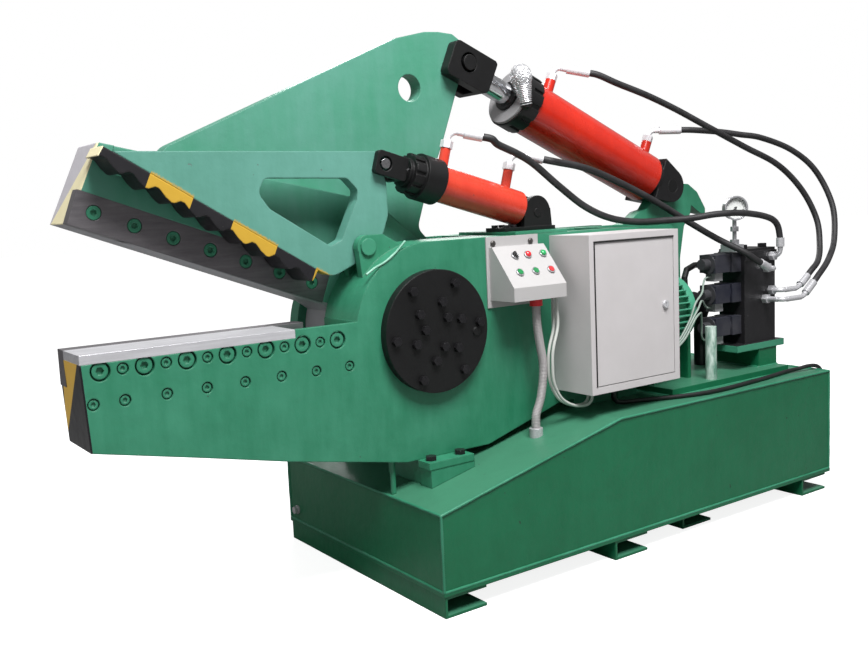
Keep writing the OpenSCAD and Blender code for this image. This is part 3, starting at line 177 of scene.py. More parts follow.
def add(tree, kind, values=(), **settings):
    """Adds a shader node, sets its options, and sets or links its inputs."""
    made = tree.nodes.new("ShaderNode" + kind)
    for key, value in settings.items():
        setattr(made, key, value)
    for key, value in dict(values).items():
        put(tree, value, made.inputs[key])
    return made


def ramp(tree, source, stops, smooth="LINEAR"):
    """A colour ramp over (place, grey or hex) stops; gives its colour socket."""
    made = add(tree, "ValToRGB", {"Fac": source})
    made.color_ramp.interpolation = smooth
    while len(made.color_ramp.elements) < len(stops):
        made.color_ramp.elements.new(0.5)
    for element, (place, value) in zip(made.color_ramp.elements, stops):
        element.position = place
        element.color = tint(value) if isinstance(value, str) else (value, value, value, 1)
    return made.outputs["Color"]


def mix(tree, factor, a, b, how="MIX"):
    """One colour over another by a factor socket or number."""
    made = add(tree, "Mix", {}, data_type="RGBA", blend_type=how)
    for index, value in ((0, factor), (6, a), (7, b)):
        put(tree, value, made.inputs[index])
    return made.outputs[2]


def sums(tree, how, *values):
    """One arithmetic step on sockets or numbers."""
    made = add(tree, "Math", {k: v for k, v in enumerate(values)}, operation=how)
    return made.outputs[0]


def new_material(name):
    """A material, its empty node tree, and the place on the object as a socket of that tree."""
    made = bpy.data.materials.new(name)
    made.use_nodes = True
    made.node_tree.nodes.clear()
    return made, made.node_tree, place(made.node_tree)


def times(tree, a, b):
    return sums(tree, "MULTIPLY", a, b)


def plus(tree, a, b):
    return sums(tree, "ADD", a, b)


def finish_material(tree, colour, rough, bump=None, **sockets):
    """Joins colour, roughness, bump height and constants to one surface shader."""
    shader = add(tree, "BsdfPrincipled", {k.replace("_", " "): v for k, v in sockets.items()})
    put(tree, colour, shader.inputs["Base Color"])
    put(tree, rough, shader.inputs["Roughness"])
    if bump is not None:
        height, distance, base = bump
        made = add(tree, "Bump", {"Height": height, "Distance": distance, "Strength": 1.0})
        if base is not None:
            tree.links.new(base, made.inputs["Normal"])
        tree.links.new(made.outputs[0], shader.inputs["Normal"])
    add(tree, "OutputMaterial", {"Surface": shader.outputs[0]})


def place(tree):
    return add(tree, "TexCoord").outputs["Object"]


def noise(tree, where, scale, detail=4.0, rough=0.5, stretch=None):
    """Fractal noise; scale is in cells per metre, stretch lengthens the cells along the axes."""
    if stretch is not None:
        where = add(tree, "Mapping", {"Vector": where, "Scale": stretch}).outputs[0]
    made = add(tree, "TexNoise", {"Vector": where, "Scale": scale, "Detail": detail, "Roughness": rough})
    return made.outputs["Fac"]


def edge_wear(tree, radius):
    """How far the surface turns within radius, 0 on flats to 1 on corners, and the rounded normal."""
    rounded = add(tree, "Bevel", {"Radius": radius}, samples=4).outputs[0]
    flat = add(tree, "NewGeometry").outputs["True Normal"]
    same = add(tree, "VectorMath", {0: rounded, 1: flat}, operation="DOT_PRODUCT").outputs["Value"]
    return sums(tree, "SUBTRACT", 1.0, same), rounded


def enamel(name, light, deep, chip, rough=0.42, coat=0.12, chips=0.3, extra=None, wavy=1.0):
    """Alkyd machine enamel, brushed and rolled on steel: a wavy film of soft gloss with chipped corners.

    Colour drifts between two shades over half a metre, streaks 30 mm wide run down the plate, the film has
    3 mm orange peel over 40 mm waves, and paint is worn off corners and in small chips down to the primer.
    """
    made, tree, where = new_material(name)
    broad = noise(tree, where, 2.2, 5, 0.6)
    streak = noise(tree, where, 26.0, 3, 0.6, (1.0, 1.0, 0.18))
    shade = plus(tree, times(tree, broad, 0.7), times(tree, streak, 0.3))
    colour = mix(tree, ramp(tree, shade, [(0.3, 0.0), (0.7, 1.0)]), deep, light)
    dust = ramp(tree, noise(tree, where, 9.0, 6, 0.7), [(0.5, 0.0), (0.85, 0.35)])
    colour = mix(tree, dust, colour, light)
    corner, rounded = edge_wear(tree, 0.006)
    fine = noise(tree, where, 75.0, 5, 0.65)
    worn = plus(tree, times(tree, corner, 1.15), times(tree, fine, chips))
    chipped = sums(tree, "GREATER_THAN", worn, 0.5 + 0.36 * chips)
    specks = sums(tree, "GREATER_THAN", noise(tree, where, 48.0, 2, 0.4), 0.79)
    chipped = sums(tree, "MAXIMUM", chipped, specks)
    colour = mix(tree, chipped, colour, chip)
    if extra is not None:
        colour = extra(tree, where, colour)
    peel = noise(tree, where, 320.0, 2, 0.5)
    wave = noise(tree, where, 16.0, 3, 0.5)
    height = plus(tree, times(tree, peel, 0.045), times(tree, wave, 0.9 * wavy))
    height = sums(tree, "SUBTRACT", height, times(tree, chipped, 0.12))
    roughness = plus(tree, times(tree, noise(tree, where, 7.0, 4, 0.6), 0.22), rough - 0.11)
    roughness = plus(tree, roughness, times(tree, chipped, 0.2))
    bump = (height, 0.0022, rounded)
    finish_material(tree, colour, roughness, bump, Coat_Weight=coat, Coat_Roughness=0.2, IOR=1.42)
    return made


def metal(name, light, deep, rough, brushed=None, scale=90.0, metallic=1.0, bump=0.0003, dirt=0.25):
    """Bare or plated steel: fine marks drawn out along one axis, darker where oil and dust have settled."""
    made, tree, where = new_material(name)
    marks = noise(tree, where, scale, 5, 0.7, brushed)
    stain = ramp(tree, noise(tree, where, 11.0, 5, 0.65), [(0.42, 0.0), (0.75, dirt)])
    _, rounded = edge_wear(tree, 0.003)
    colour = mix(tree, marks, deep, light)
    colour = mix(tree, stain, colour, deep)
    roughness = plus(tree, times(tree, marks, 0.22), rough - 0.1)
    finish_material(tree, colour, roughness, (marks, bump, rounded), Metallic=metallic)
    return made


# ---- surfaces ----

def new_object(name, data):
    made = bpy.data.objects.new(name, data)
    bpy.context.scene.collection.objects.link(made)
    return made


def piece(name, points, faces, material, uv=None, body="base", smooth=True, sharp=None):
    """A mesh object from arrays, shaded smooth, riding on a body of the frame."""
    mesh = bpy.data.meshes.new(name)
    mesh.from_pydata(np.asarray(points, float).tolist(), [], [list(map(int, f)) for f in faces])
    if uv is not None:
        layer = mesh.uv_layers.new(name="UVMap")
        index = np.zeros(len(mesh.loops), np.int32)
        mesh.loops.foreach_get("vertex_index", index)
        layer.data.foreach_set("uv", np.asarray(uv, np.float32)[index].ravel())
    mesh.polygons.foreach_set("use_smooth", np.full(len(mesh.polygons), smooth))
    mesh.materials.append(material)
    mesh.validate()
    mesh.update()
    if sharp is not None:
        mesh.set_sharp_from_angle(angle=math.radians(sharp))
    made = new_object(name, mesh)
    if body is not None:
        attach(made, body)
    return made


def grid_faces(rows, columns, caps=True):
    """Quads between neighbouring rings of points, wound so that they face outwards, and a cap on each end."""
    i, j = np.meshgrid(np.arange(rows - 1), np.arange(columns), indexing="ij")
    k = (j + 1) % columns
    here, ahead = i * columns, (i + 1) * columns
    faces = np.stack([here + j, here + k, ahead + k, ahead + j], -1).reshape(-1, 4).tolist()
    if caps:
        first = np.arange(columns)
        faces += [first[::-1].tolist(), (first + (rows - 1) * columns).tolist()]
    return faces


def smooth_run(points, steps):
    """A Catmull-Rom curve through the points, with that many steps from each to the next."""
    p = np.asarray(points, float)
    k = np.arange(len(p) - 1)
    corners = p[np.maximum(k - 1, 0)], p[:-1], p[1:], p[np.minimum(k + 2, len(p) - 1)]
    a, b, c, d = (q[:, None, :] for q in corners)
    t = (np.arange(steps) / steps)[None, :, None]
    square, cube = 2 * a - 5 * b + 4 * c - d, 3 * b - a - 3 * c + d
    run = 0.5 * (2 * b + (c - a) * t + square * t ** 2 + cube * t ** 3)
    return np.vstack([run.reshape(-1, 3), p[-1]])


def distance(line):
    """How far along a line each of its points is."""
    return np.concatenate([[0], np.cumsum(np.linalg.norm(np.diff(line, axis=0), axis=1))])


def even_run(line, gap):
    """The same line with its points a fixed distance apart, and their distances along it."""
    along = distance(line)
    count = max(2, int(round(along[-1] / gap)) + 1)
    s = np.linspace(0, along[-1], count)
    return np.stack([np.interp(s, along, line[:, k]) for k in range(3)], 1), s


def carried(line):
    """Two directions across a line at each of its points, carried along it without twist."""
    t = np.gradient(line, axis=0)
    t /= np.linalg.norm(t, axis=1, keepdims=True)
    side = np.array([0.3, 1.0, 0.2])
    sides = np.zeros_like(t)
    for k, heading in enumerate(t):
        side = side - heading * (side @ heading)
        side /= np.linalg.norm(side)
        sides[k] = side
    return sides, np.cross(t, sides)


def tube(line, radius, sides=16):
    """Rings round a line: each point is the line's plus radius times cos and sin of the angle round it.

    radius is a number, one value for each ring, or one for each ring and side. Gives points, faces and UV,
    with U once round and V in metres along.
    """
    rows = len(line)
    across, up = carried(line)
    angle = np.arange(sides) * 2 * math.pi / sides
    r = np.asarray(radius, float).reshape((rows, -1) if np.ndim(radius) else (1, 1))
    ring = across[:, None, :] * np.cos(angle)[None, :, None] + up[:, None, :] * np.sin(angle)[None, :, None]
    points = (line[:, None, :] + ring * r[:, :, None]).reshape(-1, 3)
    once, along = np.broadcast_arrays(angle / (2 * math.pi), distance(line)[:, None])
    return points, grid_faces(rows, sides), np.stack([once, along], -1).reshape(-1, 2)


def basis(axis):
    """Three square directions, the last along axis."""
    w = np.asarray(axis, float) / np.linalg.norm(axis)
    u = np.cross(w, (0.0, 0.0, 1.0) if abs(w[2]) < 0.9 else (1.0, 0.0, 0.0))
    u /= np.linalg.norm(u)
    return u, np.cross(w, u), w


def turned(profile, centre, axis, sides=48):
    """A profile of (radius, height) in millimetres turned round an axis through centre.

    The point at angle a is centre plus height along the axis plus radius at a.
    """
    p = np.asarray(profile, float) / 1000.0
    u, v, w = basis(axis)
    angle = np.arange(sides) * 2 * math.pi / sides
    ring = u[None] * np.cos(angle)[:, None] + v[None] * np.sin(angle)[:, None]
    points = centre + p[:, 0, None, None] * ring[None] + p[:, 1, None, None] * w
    return points.reshape(-1, 3), grid_faces(len(p), sides)


def joined(*parts):
    """Several (points, faces) surfaces as one."""
    points, faces, start = [], [], 0
    for p, f in parts:
        points.append(p)
        faces += [[i + start for i in q] for q in f]
        start += len(p)
    return np.vstack(points), faces


# ---- sizes and colours that a user may change ----

def colour_value(name, description, hex_code):
    return bpy.props.FloatVectorProperty(
        name=name, description=description, subtype="COLOR", size=4, default=tint(hex_code))


def number(name, description, default, unit="NONE"):
    return bpy.props.FloatProperty(name=name, description=description, default=default, unit=unit)


class ShearPaint(bpy.types.PropertyGroup):
    green: colour_value("Green", "Enamel of the frame and jaws, where light falls on it", "#3c8569")
    green_deep: colour_value("Deep green", "The same enamel where the coat is thick", "#1d6c4d")
    # Painted sheen: this paler green stands in for the whitish reflection of the bright room on the gloss of
    # the upper jaw and arm.
    green_sheen_pale: colour_value("Pale green", "Enamel of the swinging parts, which are chalkier", "#599080")
    red: colour_value("Red", "Enamel of the cylinders", "#cb2912")
    yellow: colour_value("Yellow", "Hazard marks", "#e7b83c")
    cabinet: colour_value("Cabinet", "Powder coat of the cabinet and box", "#c0bcbd")


class ShearSizes(bpy.types.PropertyGroup):
    hose_r: number("Hose radius", "Outside radius of the pressure hoses", 0.014, "LENGTH")
    conduit_r: number("Conduit radius", "Outside radius of the ribbed conduit", 0.017, "LENGTH")
    signal_r: number("Signal cable radius", "Outside radius of the thin cables", 0.006, "LENGTH")
    valve_r: number("Valve cable radius", "Outside radius of the valves' cables", 0.0045, "LENGTH")
    weld_r: number("Weld radius", "Half the width of the weld beads", 0.0055, "LENGTH")
    coil_turns: number("Coil turns", "Turns of spare cable on the floor, in two layers", 4.25)


class ShearStage(bpy.types.PropertyGroup):
    lens: number("Lens", "Focal length on a 36 mm sensor", 40.416, "CAMERA")
    key: number("Key light", "Power of the large soft light", 680.0, "POWER")
    fill: number("Fill light", "Power of the light from the other side", 30.0, "POWER")
    sky: number("Surround", "Brightness of the room as it lights the machine", 0.3)


def paint():
    return bpy.context.scene.shear_paint


def sizes():
    return bpy.context.scene.shear_sizes


# ---- masks for painted marks ----

def measure(tree, where, point, direction):
    """How far a place lies from a point in machine millimetres, along a direction, in metres."""
    d = np.asarray(direction, float) / np.linalg.norm(direction)
    dot = add(tree, "VectorMath", {0: where, 1: tuple(d)}, operation="DOT_PRODUCT").outputs["Value"]
    return sums(tree, "SUBTRACT", dot, float(at(point) @ d))


def within(tree, value, low, high):
    """1 where a value in metres is from low to high millimetres."""
    return sums(tree, "COMPARE", value, (low + high) / 2000.0, (high - low) / 2000.0)


def span(tree, where, axis, low, high):
    """1 where a place is from low to high machine millimetres along X, Y or Z, which are 0, 1 and 2."""
    value = add(tree, "SeparateXYZ", {0: where}).outputs[axis]
    return sums(tree, "COMPARE", value, (low + high) / 2000.0 + CORNER[axis], (high - low) / 2000.0)


def below(tree, value, edge=0.0):
    return sums(tree, "LESS_THAN", value, edge)


def both(tree, *masks):
    found = masks[0]
    for mask in masks[1:]:
        found = times(tree, found, mask)
    return found


def tip_marks(tree, where, colour):
    """Lower jaw's front end: black, with a yellow band that runs from the top to the far lower corner."""
    front = within(tree, measure(tree, where, (-1040, 0, 996), (-287, 0, -13)), -5, 5)
    band = both(tree, below(tree, measure(tree, where, (-1040, 455, 996), (0, 1, 0.2245))),
        sums(tree, "GREATER_THAN", measure(tree, where, (-1040, 275, 996), (0, 1, 0.875)), 0.0))
    marks = mix(tree, band, "#121116", paint().yellow)
    return mix(tree, front, colour, marks)


def nose_marks(tree, where, colour):
    """Upper jaw's front end is pale grey primer with a cream band that widens downwards; its sole is bare."""
    front = within(tree, measure(tree, where, (-976, 0, 1369), (-244, 0, 110)), -5, 5)
    band = below(tree, measure(tree, where, (-976, 692, 1369), (0.2842, 1, 0.6304)))
    marks = mix(tree, band, "#c3c0c6", "#f1e7bc")
    sole = below(tree, measure(tree, where, (-976, 0, 1369), (0.3497, 0, 0.9368)), 0.004)
    return mix(tree, front, mix(tree, sole, colour, "#97979b"), marks)


FOOT = ((-889, 0, 1593), (690, 0, -418))
FOOT_UP = (418, 0, 690)
FOOT_BLOCKS = ((160, 312), (462, 636), (798, 880))


def foot_marks(tree, where, colour):
    """Foot bar: black, with yellow blocks cut at a slant and a cream one at its tip."""
    run = measure(tree, where, *FOOT)
    slant = plus(tree, run, times(tree, measure(tree, where, FOOT[0], FOOT_UP), 0.12))
    near = span(tree, where, 1, 370, 376)
    for low, high in FOOT_BLOCKS:
        colour = mix(tree, both(tree, near, within(tree, slant, low, high)), colour, dull_yellow())
    return mix(tree, within(tree, run, -3, 3), colour, "#efe5bd")


def pin_marks(tree, where, colour):
    """The arm's pin, ahead of x = 200 mm, is green like its lug; the cylinders' pins are black."""
    return mix(tree, span(tree, where, 0, -200, 200), colour, paint().green)


def dull_yellow():
    """The hazard yellow as brushed thinly over black."""
    return tuple(0.62 * v for v in paint().yellow[:3]) + (1.0,)


def overspray(tree, where, colour):
    """Yellow that strayed above the foot bar onto the arm's plate, thinning out over 14 mm."""
    run, rise = measure(tree, where, *FOOT), measure(tree, where, FOOT[0], FOOT_UP)
    spray = plus(tree, times(tree, rise, 45.0), noise(tree, where, 160.0, 3, 0.7))
    fade = ramp(tree, spray, [(0.62, 1.0), (0.95, 0.0)])
    for low, high in FOOT_BLOCKS:
        colour = mix(tree, both(tree, fade, within(tree, run, low, high)), colour, dull_yellow())
    return colour


def wear(material, *nodes):
    """Gives CAD nodes their material."""
    for node in nodes:
        mesh = NODES[node].data
        if len(mesh.materials) == 0:
            mesh.materials.append(material)
        for k in range(len(mesh.materials)):
            mesh.materials[k] = material


# ---- other materials ----

def rubber(name, light, deep, rough=0.55, wrap=True):
    """Hose rubber with the print of its curing cloth: fine slanting weave over slow grey bloom, dull sheen.
    UV is once round and metres along, so the weave follows the hose."""
    made, tree, where = new_material(name)
    uv = add(tree, "TexCoord").outputs["UV"]
    split = add(tree, "SeparateXYZ", {0: uv})
    turn = times(tree, split.outputs[0], 2 * math.pi)
    along = times(tree, split.outputs[1], 2 * math.pi / 0.0045)
    spiral = sums(tree, "SINE", plus(tree, along, turn))
    weave = sums(tree, "SINE", plus(tree, times(tree, turn, 14.0), times(tree, along, 0.5)))
    bloom = noise(tree, where, 14.0, 5, 0.65)
    colour = mix(tree, ramp(tree, bloom, [(0.35, 0.0), (0.75, 1.0)]), deep, light)
    height = plus(tree, times(tree, spiral, 0.5), times(tree, weave, 0.25)) if wrap else bloom
    roughness = plus(tree, times(tree, bloom, 0.2), rough - 0.1)
    finish_material(tree, colour, roughness, (height, 0.0004, None), IOR=1.5)
    return made


def plastic(name, hex_code, rough=0.4, extra=None, **sockets):
    """Moulded plastic or powder coat: fine even grain and a little dust in its colour."""
    made, tree, where = new_material(name)
    dust = ramp(tree, noise(tree, where, 6.0, 5, 0.65), [(0.35, 0.0), (0.8, 0.16)])
    colour = mix(tree, dust, hex_code, "#8d8a86")
    if extra is not None:
        colour = extra(tree, where, colour)
    grain = noise(tree, where, 420.0, 2, 0.5)
    _, rounded = edge_wear(tree, 0.002)
    roughness = plus(tree, times(tree, grain, 0.12), rough - 0.06)
    finish_material(tree, colour, roughness, (grain, 0.00012, rounded), IOR=1.49, **sockets)
    return made


def lamp_glass(name, hex_code, glow):
    """Coloured acrylic lens: smooth and bright, lit from inside a little."""
    made, tree, _ = new_material(name)
    finish_material(tree, hex_code, 0.12, None, IOR=1.49, Coat_Weight=0.8,
        Emission_Color=tint(hex_code), Emission_Strength=glow)
    return made


def clear(name):
    """Gauge glass: clear, with only its reflection to see."""
    made, tree, _ = new_material(name)
    through = add(tree, "BsdfTransparent")
    shine = add(tree, "BsdfGlossy", {"Roughness": 0.05})
    entering = sums(tree, "SUBTRACT", 1.0, add(tree, "NewGeometry").outputs["Backfacing"])
    share = times(tree, add(tree, "Fresnel", {"IOR": 1.45}).outputs[0], entering)
    glass = add(tree, "MixShader", {0: share, 1: through.outputs[0], 2: shine.outputs[0]})
    add(tree, "OutputMaterial", {"Surface": glass.outputs[0]})
    return made


# ---- operators ----

class Build(bpy.types.Operator):
    """A step of the finish; each step raises an error if it can't be done"""
    bl_options = {"REGISTER", "UNDO"}


def camera_place():
    """The view from the machine's front near corner: a matrix of the camera's axes and its place."""
    turn, dip, roll = (math.radians(v) for v in (35.1855, 6.9724, -2.5898))
    ahead = Vector((math.sin(turn) * math.cos(dip), math.cos(turn) * math.cos(dip), -math.sin(dip)))
    right = Vector((math.cos(turn), -math.sin(turn), 0))
    up = right.cross(ahead)
    across = math.cos(roll) * right + math.sin(roll) * up
    above = -math.sin(roll) * right + math.cos(roll) * up
    turned_to = Matrix((across, above, -ahead)).transposed().to_4x4()
    return Matrix.Translation(Vector(at((-1789.4, -2547.8, 1375.7)))) @ turned_to


def area(name, place_at, target, size, power):
    light = bpy.data.lights.new(name, "AREA")
    light.shape, light.size, light.size_y, light.energy = "RECTANGLE", *size, power
    made = new_object(name, light)
    made.location = place_at
    made.rotation_euler = (Vector(target) - Vector(place_at)).to_track_quat("-Z", "Y").to_euler()


class SHEAR_OT_stage(Build):
    """Camera at the front near corner, a pale floor and soft studio lights"""
    bl_idname = "shear.stage"
    bl_label = "Stage"

    def execute(self, context):
        scene, stage = context.scene, context.scene.shear_stage
        lens = bpy.data.cameras.new("camera")
        lens.lens, lens.sensor_width, lens.sensor_fit = stage.lens, 36.0, "HORIZONTAL"
        lens.clip_end = 100.0
        camera = new_object("camera", lens)
        camera.matrix_world = camera_place()
        scene.camera = camera
        scene.view_settings.view_transform = "Standard"

        made, tree, where = new_material("pale_floor")
        # Matt white studio floor; it glows towards the lens, and bounces as little light as a grey one
        seen = add(tree, "LightPath").outputs["Is Camera Ray"]
        grain = noise(tree, where, 3.0, 4, 0.6)
        white = mix(tree, grain, "#c4c4c4", "#bebebe")
        colour = mix(tree, seen, "#898989", white)
        glow = times(tree, seen, 0.86)
        finish_material(tree, colour, 0.8, None, Emission_Color=(1, 1, 1, 1), Emission_Strength=glow)
        half = 40.0
        points = [(-half, -half, 0), (half, -half, 0), (half, half, 0), (-half, half, 0)]
        piece("floor", points, [[0, 1, 2, 3]], made, body=None)

        world = bpy.data.worlds.new("white_room")
        scene.world = world
        world.use_nodes = True
        tree = world.node_tree
        seen = add(tree, "LightPath").outputs["Is Camera Ray"]
        level = plus(tree, stage.sky, times(tree, seen, 1.0 - stage.sky))
        tree.links.new(level, tree.nodes["Background"].inputs["Strength"])
        tree.nodes["Background"].inputs["Color"].default_value = (1, 1, 1, 1)
        area("key_light", (-0.8, -3.0, 6.0), (0, 0, 0.8), (3.2, 2.2), stage.key)
        area("fill_light", (-5.0, -0.5, 2.6), (0, 0, 0.9), (2.5, 2.5), stage.fill)
        area("back_light", (3.0, 5.0, 4.0), (0, 0, 0.9), (3.0, 2.0), stage.fill * 5)
        return {"FINISHED"}


def cord_piece(name, points, radius, material, body="base", sides=16, steps=6, gap=None, ribs=None):
    """A tube along a smooth run through machine points; gives the piece and the line in the frame."""
    line = smooth_run(at(points), steps)
    if gap is not None:
        line, _ = even_run(line, gap)
    if ribs is not None:
        pitch, depth = ribs
        radius = radius - depth * (0.5 - 0.5 * np.cos(2 * math.pi * distance(line) / pitch))
    p, f, uv = tube(line, radius, sides)
    return piece(name, p, f, material, uv, body), line


class SHEAR_OT_hoses(Build):
    """Four rubber pressure hoses between the cylinders and the valve block"""
    bl_idname = "shear.hoses"
    bl_label = "Pressure hoses"

    def execute(self, context):
        skin = rubber("hose_rubber", "#2e2d2f", "#171618")
        for name, points in HOSES.items():
            made, line = cord_piece(f"{name}_tube", points, sizes().hose_r, skin, None, 20, 10)
            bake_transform(made)
            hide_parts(name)
        return {"FINISHED"}


class SHEAR_OT_cables(Build):
    """Ribbed conduit of the control box, two signal cables and three valve cables"""
    bl_idname = "shear.cables"
    bl_label = "Conduit and thin cables"

    def execute(self, context):
        grey = plastic("conduit_plastic", "#a29d9e", 0.45)
        pale = plastic("pale_cable_jacket", "#b4b7b2", 0.42)
        radius = sizes().conduit_r
        ribs = (0.0055, 0.0022)
        made, line = cord_piece("conduit_tube", CONDUIT, radius, grey, "base", 20, 10, ribs[0] / 5, ribs)
        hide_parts("conduit")
        runs = {f"signal_cable_{k}": [(x, y - 22 * k, z) for x, y, z in SIGNAL] for k in (0, 1)}
        for k, ends in enumerate(VALVE_ENDS):
            runs[f"valve_cable_{k}"] = [(x, VALVE_Y + VALVE_PITCH * k, z) for x, z in VALVE_START] + ends
        grimy = plastic("valve_cable_jacket", "#84938a", 0.42)
        for name, points in runs.items():
            radius, skin = (sizes().valve_r, grimy) if name.startswith("valve") else (sizes().signal_r, pale)
            made, line = cord_piece(name, points, radius, skin, "base", 12, 6)
            if name == "signal_cable_0":
                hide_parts("signal_cables")
        return {"FINISHED"}


def coil_points(turns):
    """Spare cable: two turns inwards on the floor, then outwards on top; its radius follows the angle."""
    a = np.arange(0, turns * 2 * math.pi + 0.01, math.radians(20))
    step = 2 * CABLE_R + 0.6
    inward = np.minimum(a, 4 * math.pi) / (2 * math.pi)
    outward = np.maximum(a - 4 * math.pi, 0) / (2 * math.pi)
    radius = 113.3 - step * inward + step * outward
    climb = np.clip(a - 4 * math.pi + 0.5, 0, 1)
    height = 10 + step * climb * climb * (3 - 2 * climb)
    x, y = COIL_AT[0] + radius * np.cos(a), COIL_AT[1] + radius * np.sin(a)
    return list(zip(x, y, height))


class SHEAR_OT_supply(Build):
    """Black supply cable over the tank's top, down its rear and into a coil with its plug"""
    bl_idname = "shear.supply"
    bl_label = "Supply cable"

    def execute(self, context):
        skin = rubber("cable_rubber", "#1d1d1e", "#101011", 0.5, False)
        end = [(2100, 1463.3, 31), (2072, 1463, 34), (2046, 1463, 34)]
        points = SUPPLY + coil_points(sizes().coil_turns) + end
        made, line = cord_piece("supply_cable_tube", points, CABLE_R / 1000, skin, "base", 14, 4)
        plug_profile = [(0.01, 0), (10.5, 0), (12, 30), (20, 34), (22, 50), (29, 58), (33.5, 66), (34, 84),
            (31, 88), (31, 112), (34, 115), (34, 120), (29, 120), (28.5, 100), (0.01, 99)]
        plug_at, pin_ring = (2050, 1463, 34), 17
        p, f = turned(plug_profile, at(plug_at), (-1, 0, 0))
        body = piece("supply_plug", p, f, plastic("plug_plastic", "#9c2a22", 0.4), sharp=35)
        pin_profile = [(0.01, 95), (3.2, 95), (3.2, 116), (2.4, 118), (0.01, 118)]
        pins = []
        for t in np.radians((90, 162, 234, 306, 18)):
            foot = (plug_at[0], plug_at[1] + pin_ring * math.cos(t), plug_at[2] + pin_ring * math.sin(t))
            pins.append(turned(pin_profile, at(foot), (-1, 0, 0), 16))
        brass = metal("brass_pins", "#caa75e", "#8a6a30", 0.25)
        pin_mesh = piece("supply_plug_pins", *joined(*pins), brass, sharp=35)
        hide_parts("supply_cable")
        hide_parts("supply_coil")
        return {"FINISHED"}


class SHEAR_OT_enamel(Build):
    """Green enamel on the tank, frame, jaws and arm, with the hazard marks"""
    bl_idname = "shear.enamel"
    bl_label = "Green enamel"

    def execute(self, context):
        p = paint()
        frame_green = enamel("green_enamel", p.green, p.green_deep, "#2c3d35")
        # The tank's darker green is painted shade: a darker copy of the green for the low parts, which get
        # less of the light from above.
        tank_shaded_green = enamel("tank_shaded_enamel", "#126845", "#0a5b3a", "#22352c", extra=dust_and_sheen_on_tops, wavy=1.4)
        jaw_green = enamel("jaw_enamel", p.green, p.green_deep, "#39483f", chips=0.4, extra=tip_marks,
            wavy=1.3)
        # The upper jaw and arm get paler greens: painted sheen, for the whitish reflection of the room on
        # their gloss.
        upper_jaw_sheen_green = enamel("upper_jaw_sheen_enamel", p.green_sheen_pale, p.green, "#59706a", extra=nose_marks)
        arm_sheen_green = enamel("arm_sheen_enamel", "#5f9588", "#4d8474", "#59706a", extra=overspray)
        motor = enamel("motor_enamel", "#4fa283", p.green, "#2f3f38", 0.35, extra=motor_marks)
        foot = enamel("foot_enamel", "#1c1a1f", "#100f12", "#4b4948", 0.5, 0.05, 0.4, foot_marks, 0.6)
        wear(tank_shaded_green, "tank", "foot_channels", "deck_plate")
        wear(frame_green, "far_side_plate", "rear_frame", "seat_pads", "jaw_screws", "upper_blade_bolts")
        wear(motor, "motor_frame")
        wear(jaw_green, "lower_jaw_frame")
        wear(upper_jaw_sheen_green, "upper_jaw")
        wear(arm_sheen_green, "hold_down_arm")
        wear(foot, "arm_teeth")
        return {"FINISHED"}


def dust_and_sheen_on_tops(tree, where, colour):
    """Up-facing faces are mixed towards a grey green: thin shop dust, and painted sheen for the bright room
    that the tops reflect.
    """
    facing = add(tree, "SeparateXYZ", {0: add(tree, "NewGeometry").outputs["True Normal"]}).outputs[2]
    lies = ramp(tree, facing, [(0.5, 0.0), (0.9, 0.35)])
    return mix(tree, lies, colour, "#5f8f7c")


def motor_marks(tree, where, colour):
    """The motor's terminal boxes are black."""
    ranges = ((1395, 1555), (318, 433), (997, 1200))
    boxes = both(tree, *(span(tree, where, axis, *ends) for axis, ends in enumerate(ranges)))
    return mix(tree, boxes, colour, "#171518")


class SHEAR_OT_steel(Build):
    """Bare blades, liner, pins and bushes, and the black covers and bolts"""
    bl_idname = "shear.steel"
    bl_label = "Blades and pins"

    def execute(self, context):
        blade = metal("blade_steel", "#858184", "#454347", 0.42, (0.1, 1.0, 1.0), 60.0, 0.5)
        liner = metal("worn_steel", "#e6e6ea", "#a3a2a6", 0.3, (0.04, 1.0, 1.0), 80.0, 0.35)
        ground = metal("ground_steel", "#c9c9cc", "#8c8c90", 0.25)
        black = enamel("black_enamel", "#0c0c0d", "#070708", "#2b2a2a", 0.5, 0.04, 0.2)
        bolt = metal("blackened_steel", "#3b3a3d", "#151416", 0.3, scale=140.0, metallic=0.6)
        bronze = metal("bearing_bronze", "#b98a4a", "#7c5526", 0.3)
        pins = enamel("pin_enamel", "#0c0c0d", "#070708", "#2b2a2a", 0.45, 0.1, 0.2, pin_marks)
        wear(blade, "upper_blade", "lower_blade")
        wear(liner, "jaw_liner")
        wear(ground, "main_pin", "arm_top_pin", "motor_rotor")
        wear(bronze, "pin_bushes", "jaw_bush")
        wear(black, "pin_covers", "small_cyl_bracket", "main_rod_fork", "small_rod_fork", "small_gland",
            "jaw_clevis_pin")
        wear(pins, "cylinder_pins")
        wear(bolt, "frame_bolts")
        return {"FINISHED"}


def crinkled(profile, centre, axis, depth, seed, sides=64):
    """A turned profile whose radius varies with a sum of sines of angle and height, as wrapped foil does."""
    points, faces = turned(profile, centre, axis, sides)
    rng = np.random.default_rng(seed)
    u, v, w = basis(axis)
    rel = points - centre
    h, a = rel @ w, np.arctan2(rel @ v, rel @ u)
    bump = np.zeros(len(points))
    for _ in range(14):
        k, m, s = rng.integers(2, 13), rng.uniform(-500, 500), rng.uniform(0, 6.28)
        bump += np.abs(np.sin(k * a + m * h + s)) / 14
    out = rel - np.outer(h, w)
    return points - out * (depth * bump)[:, None], faces


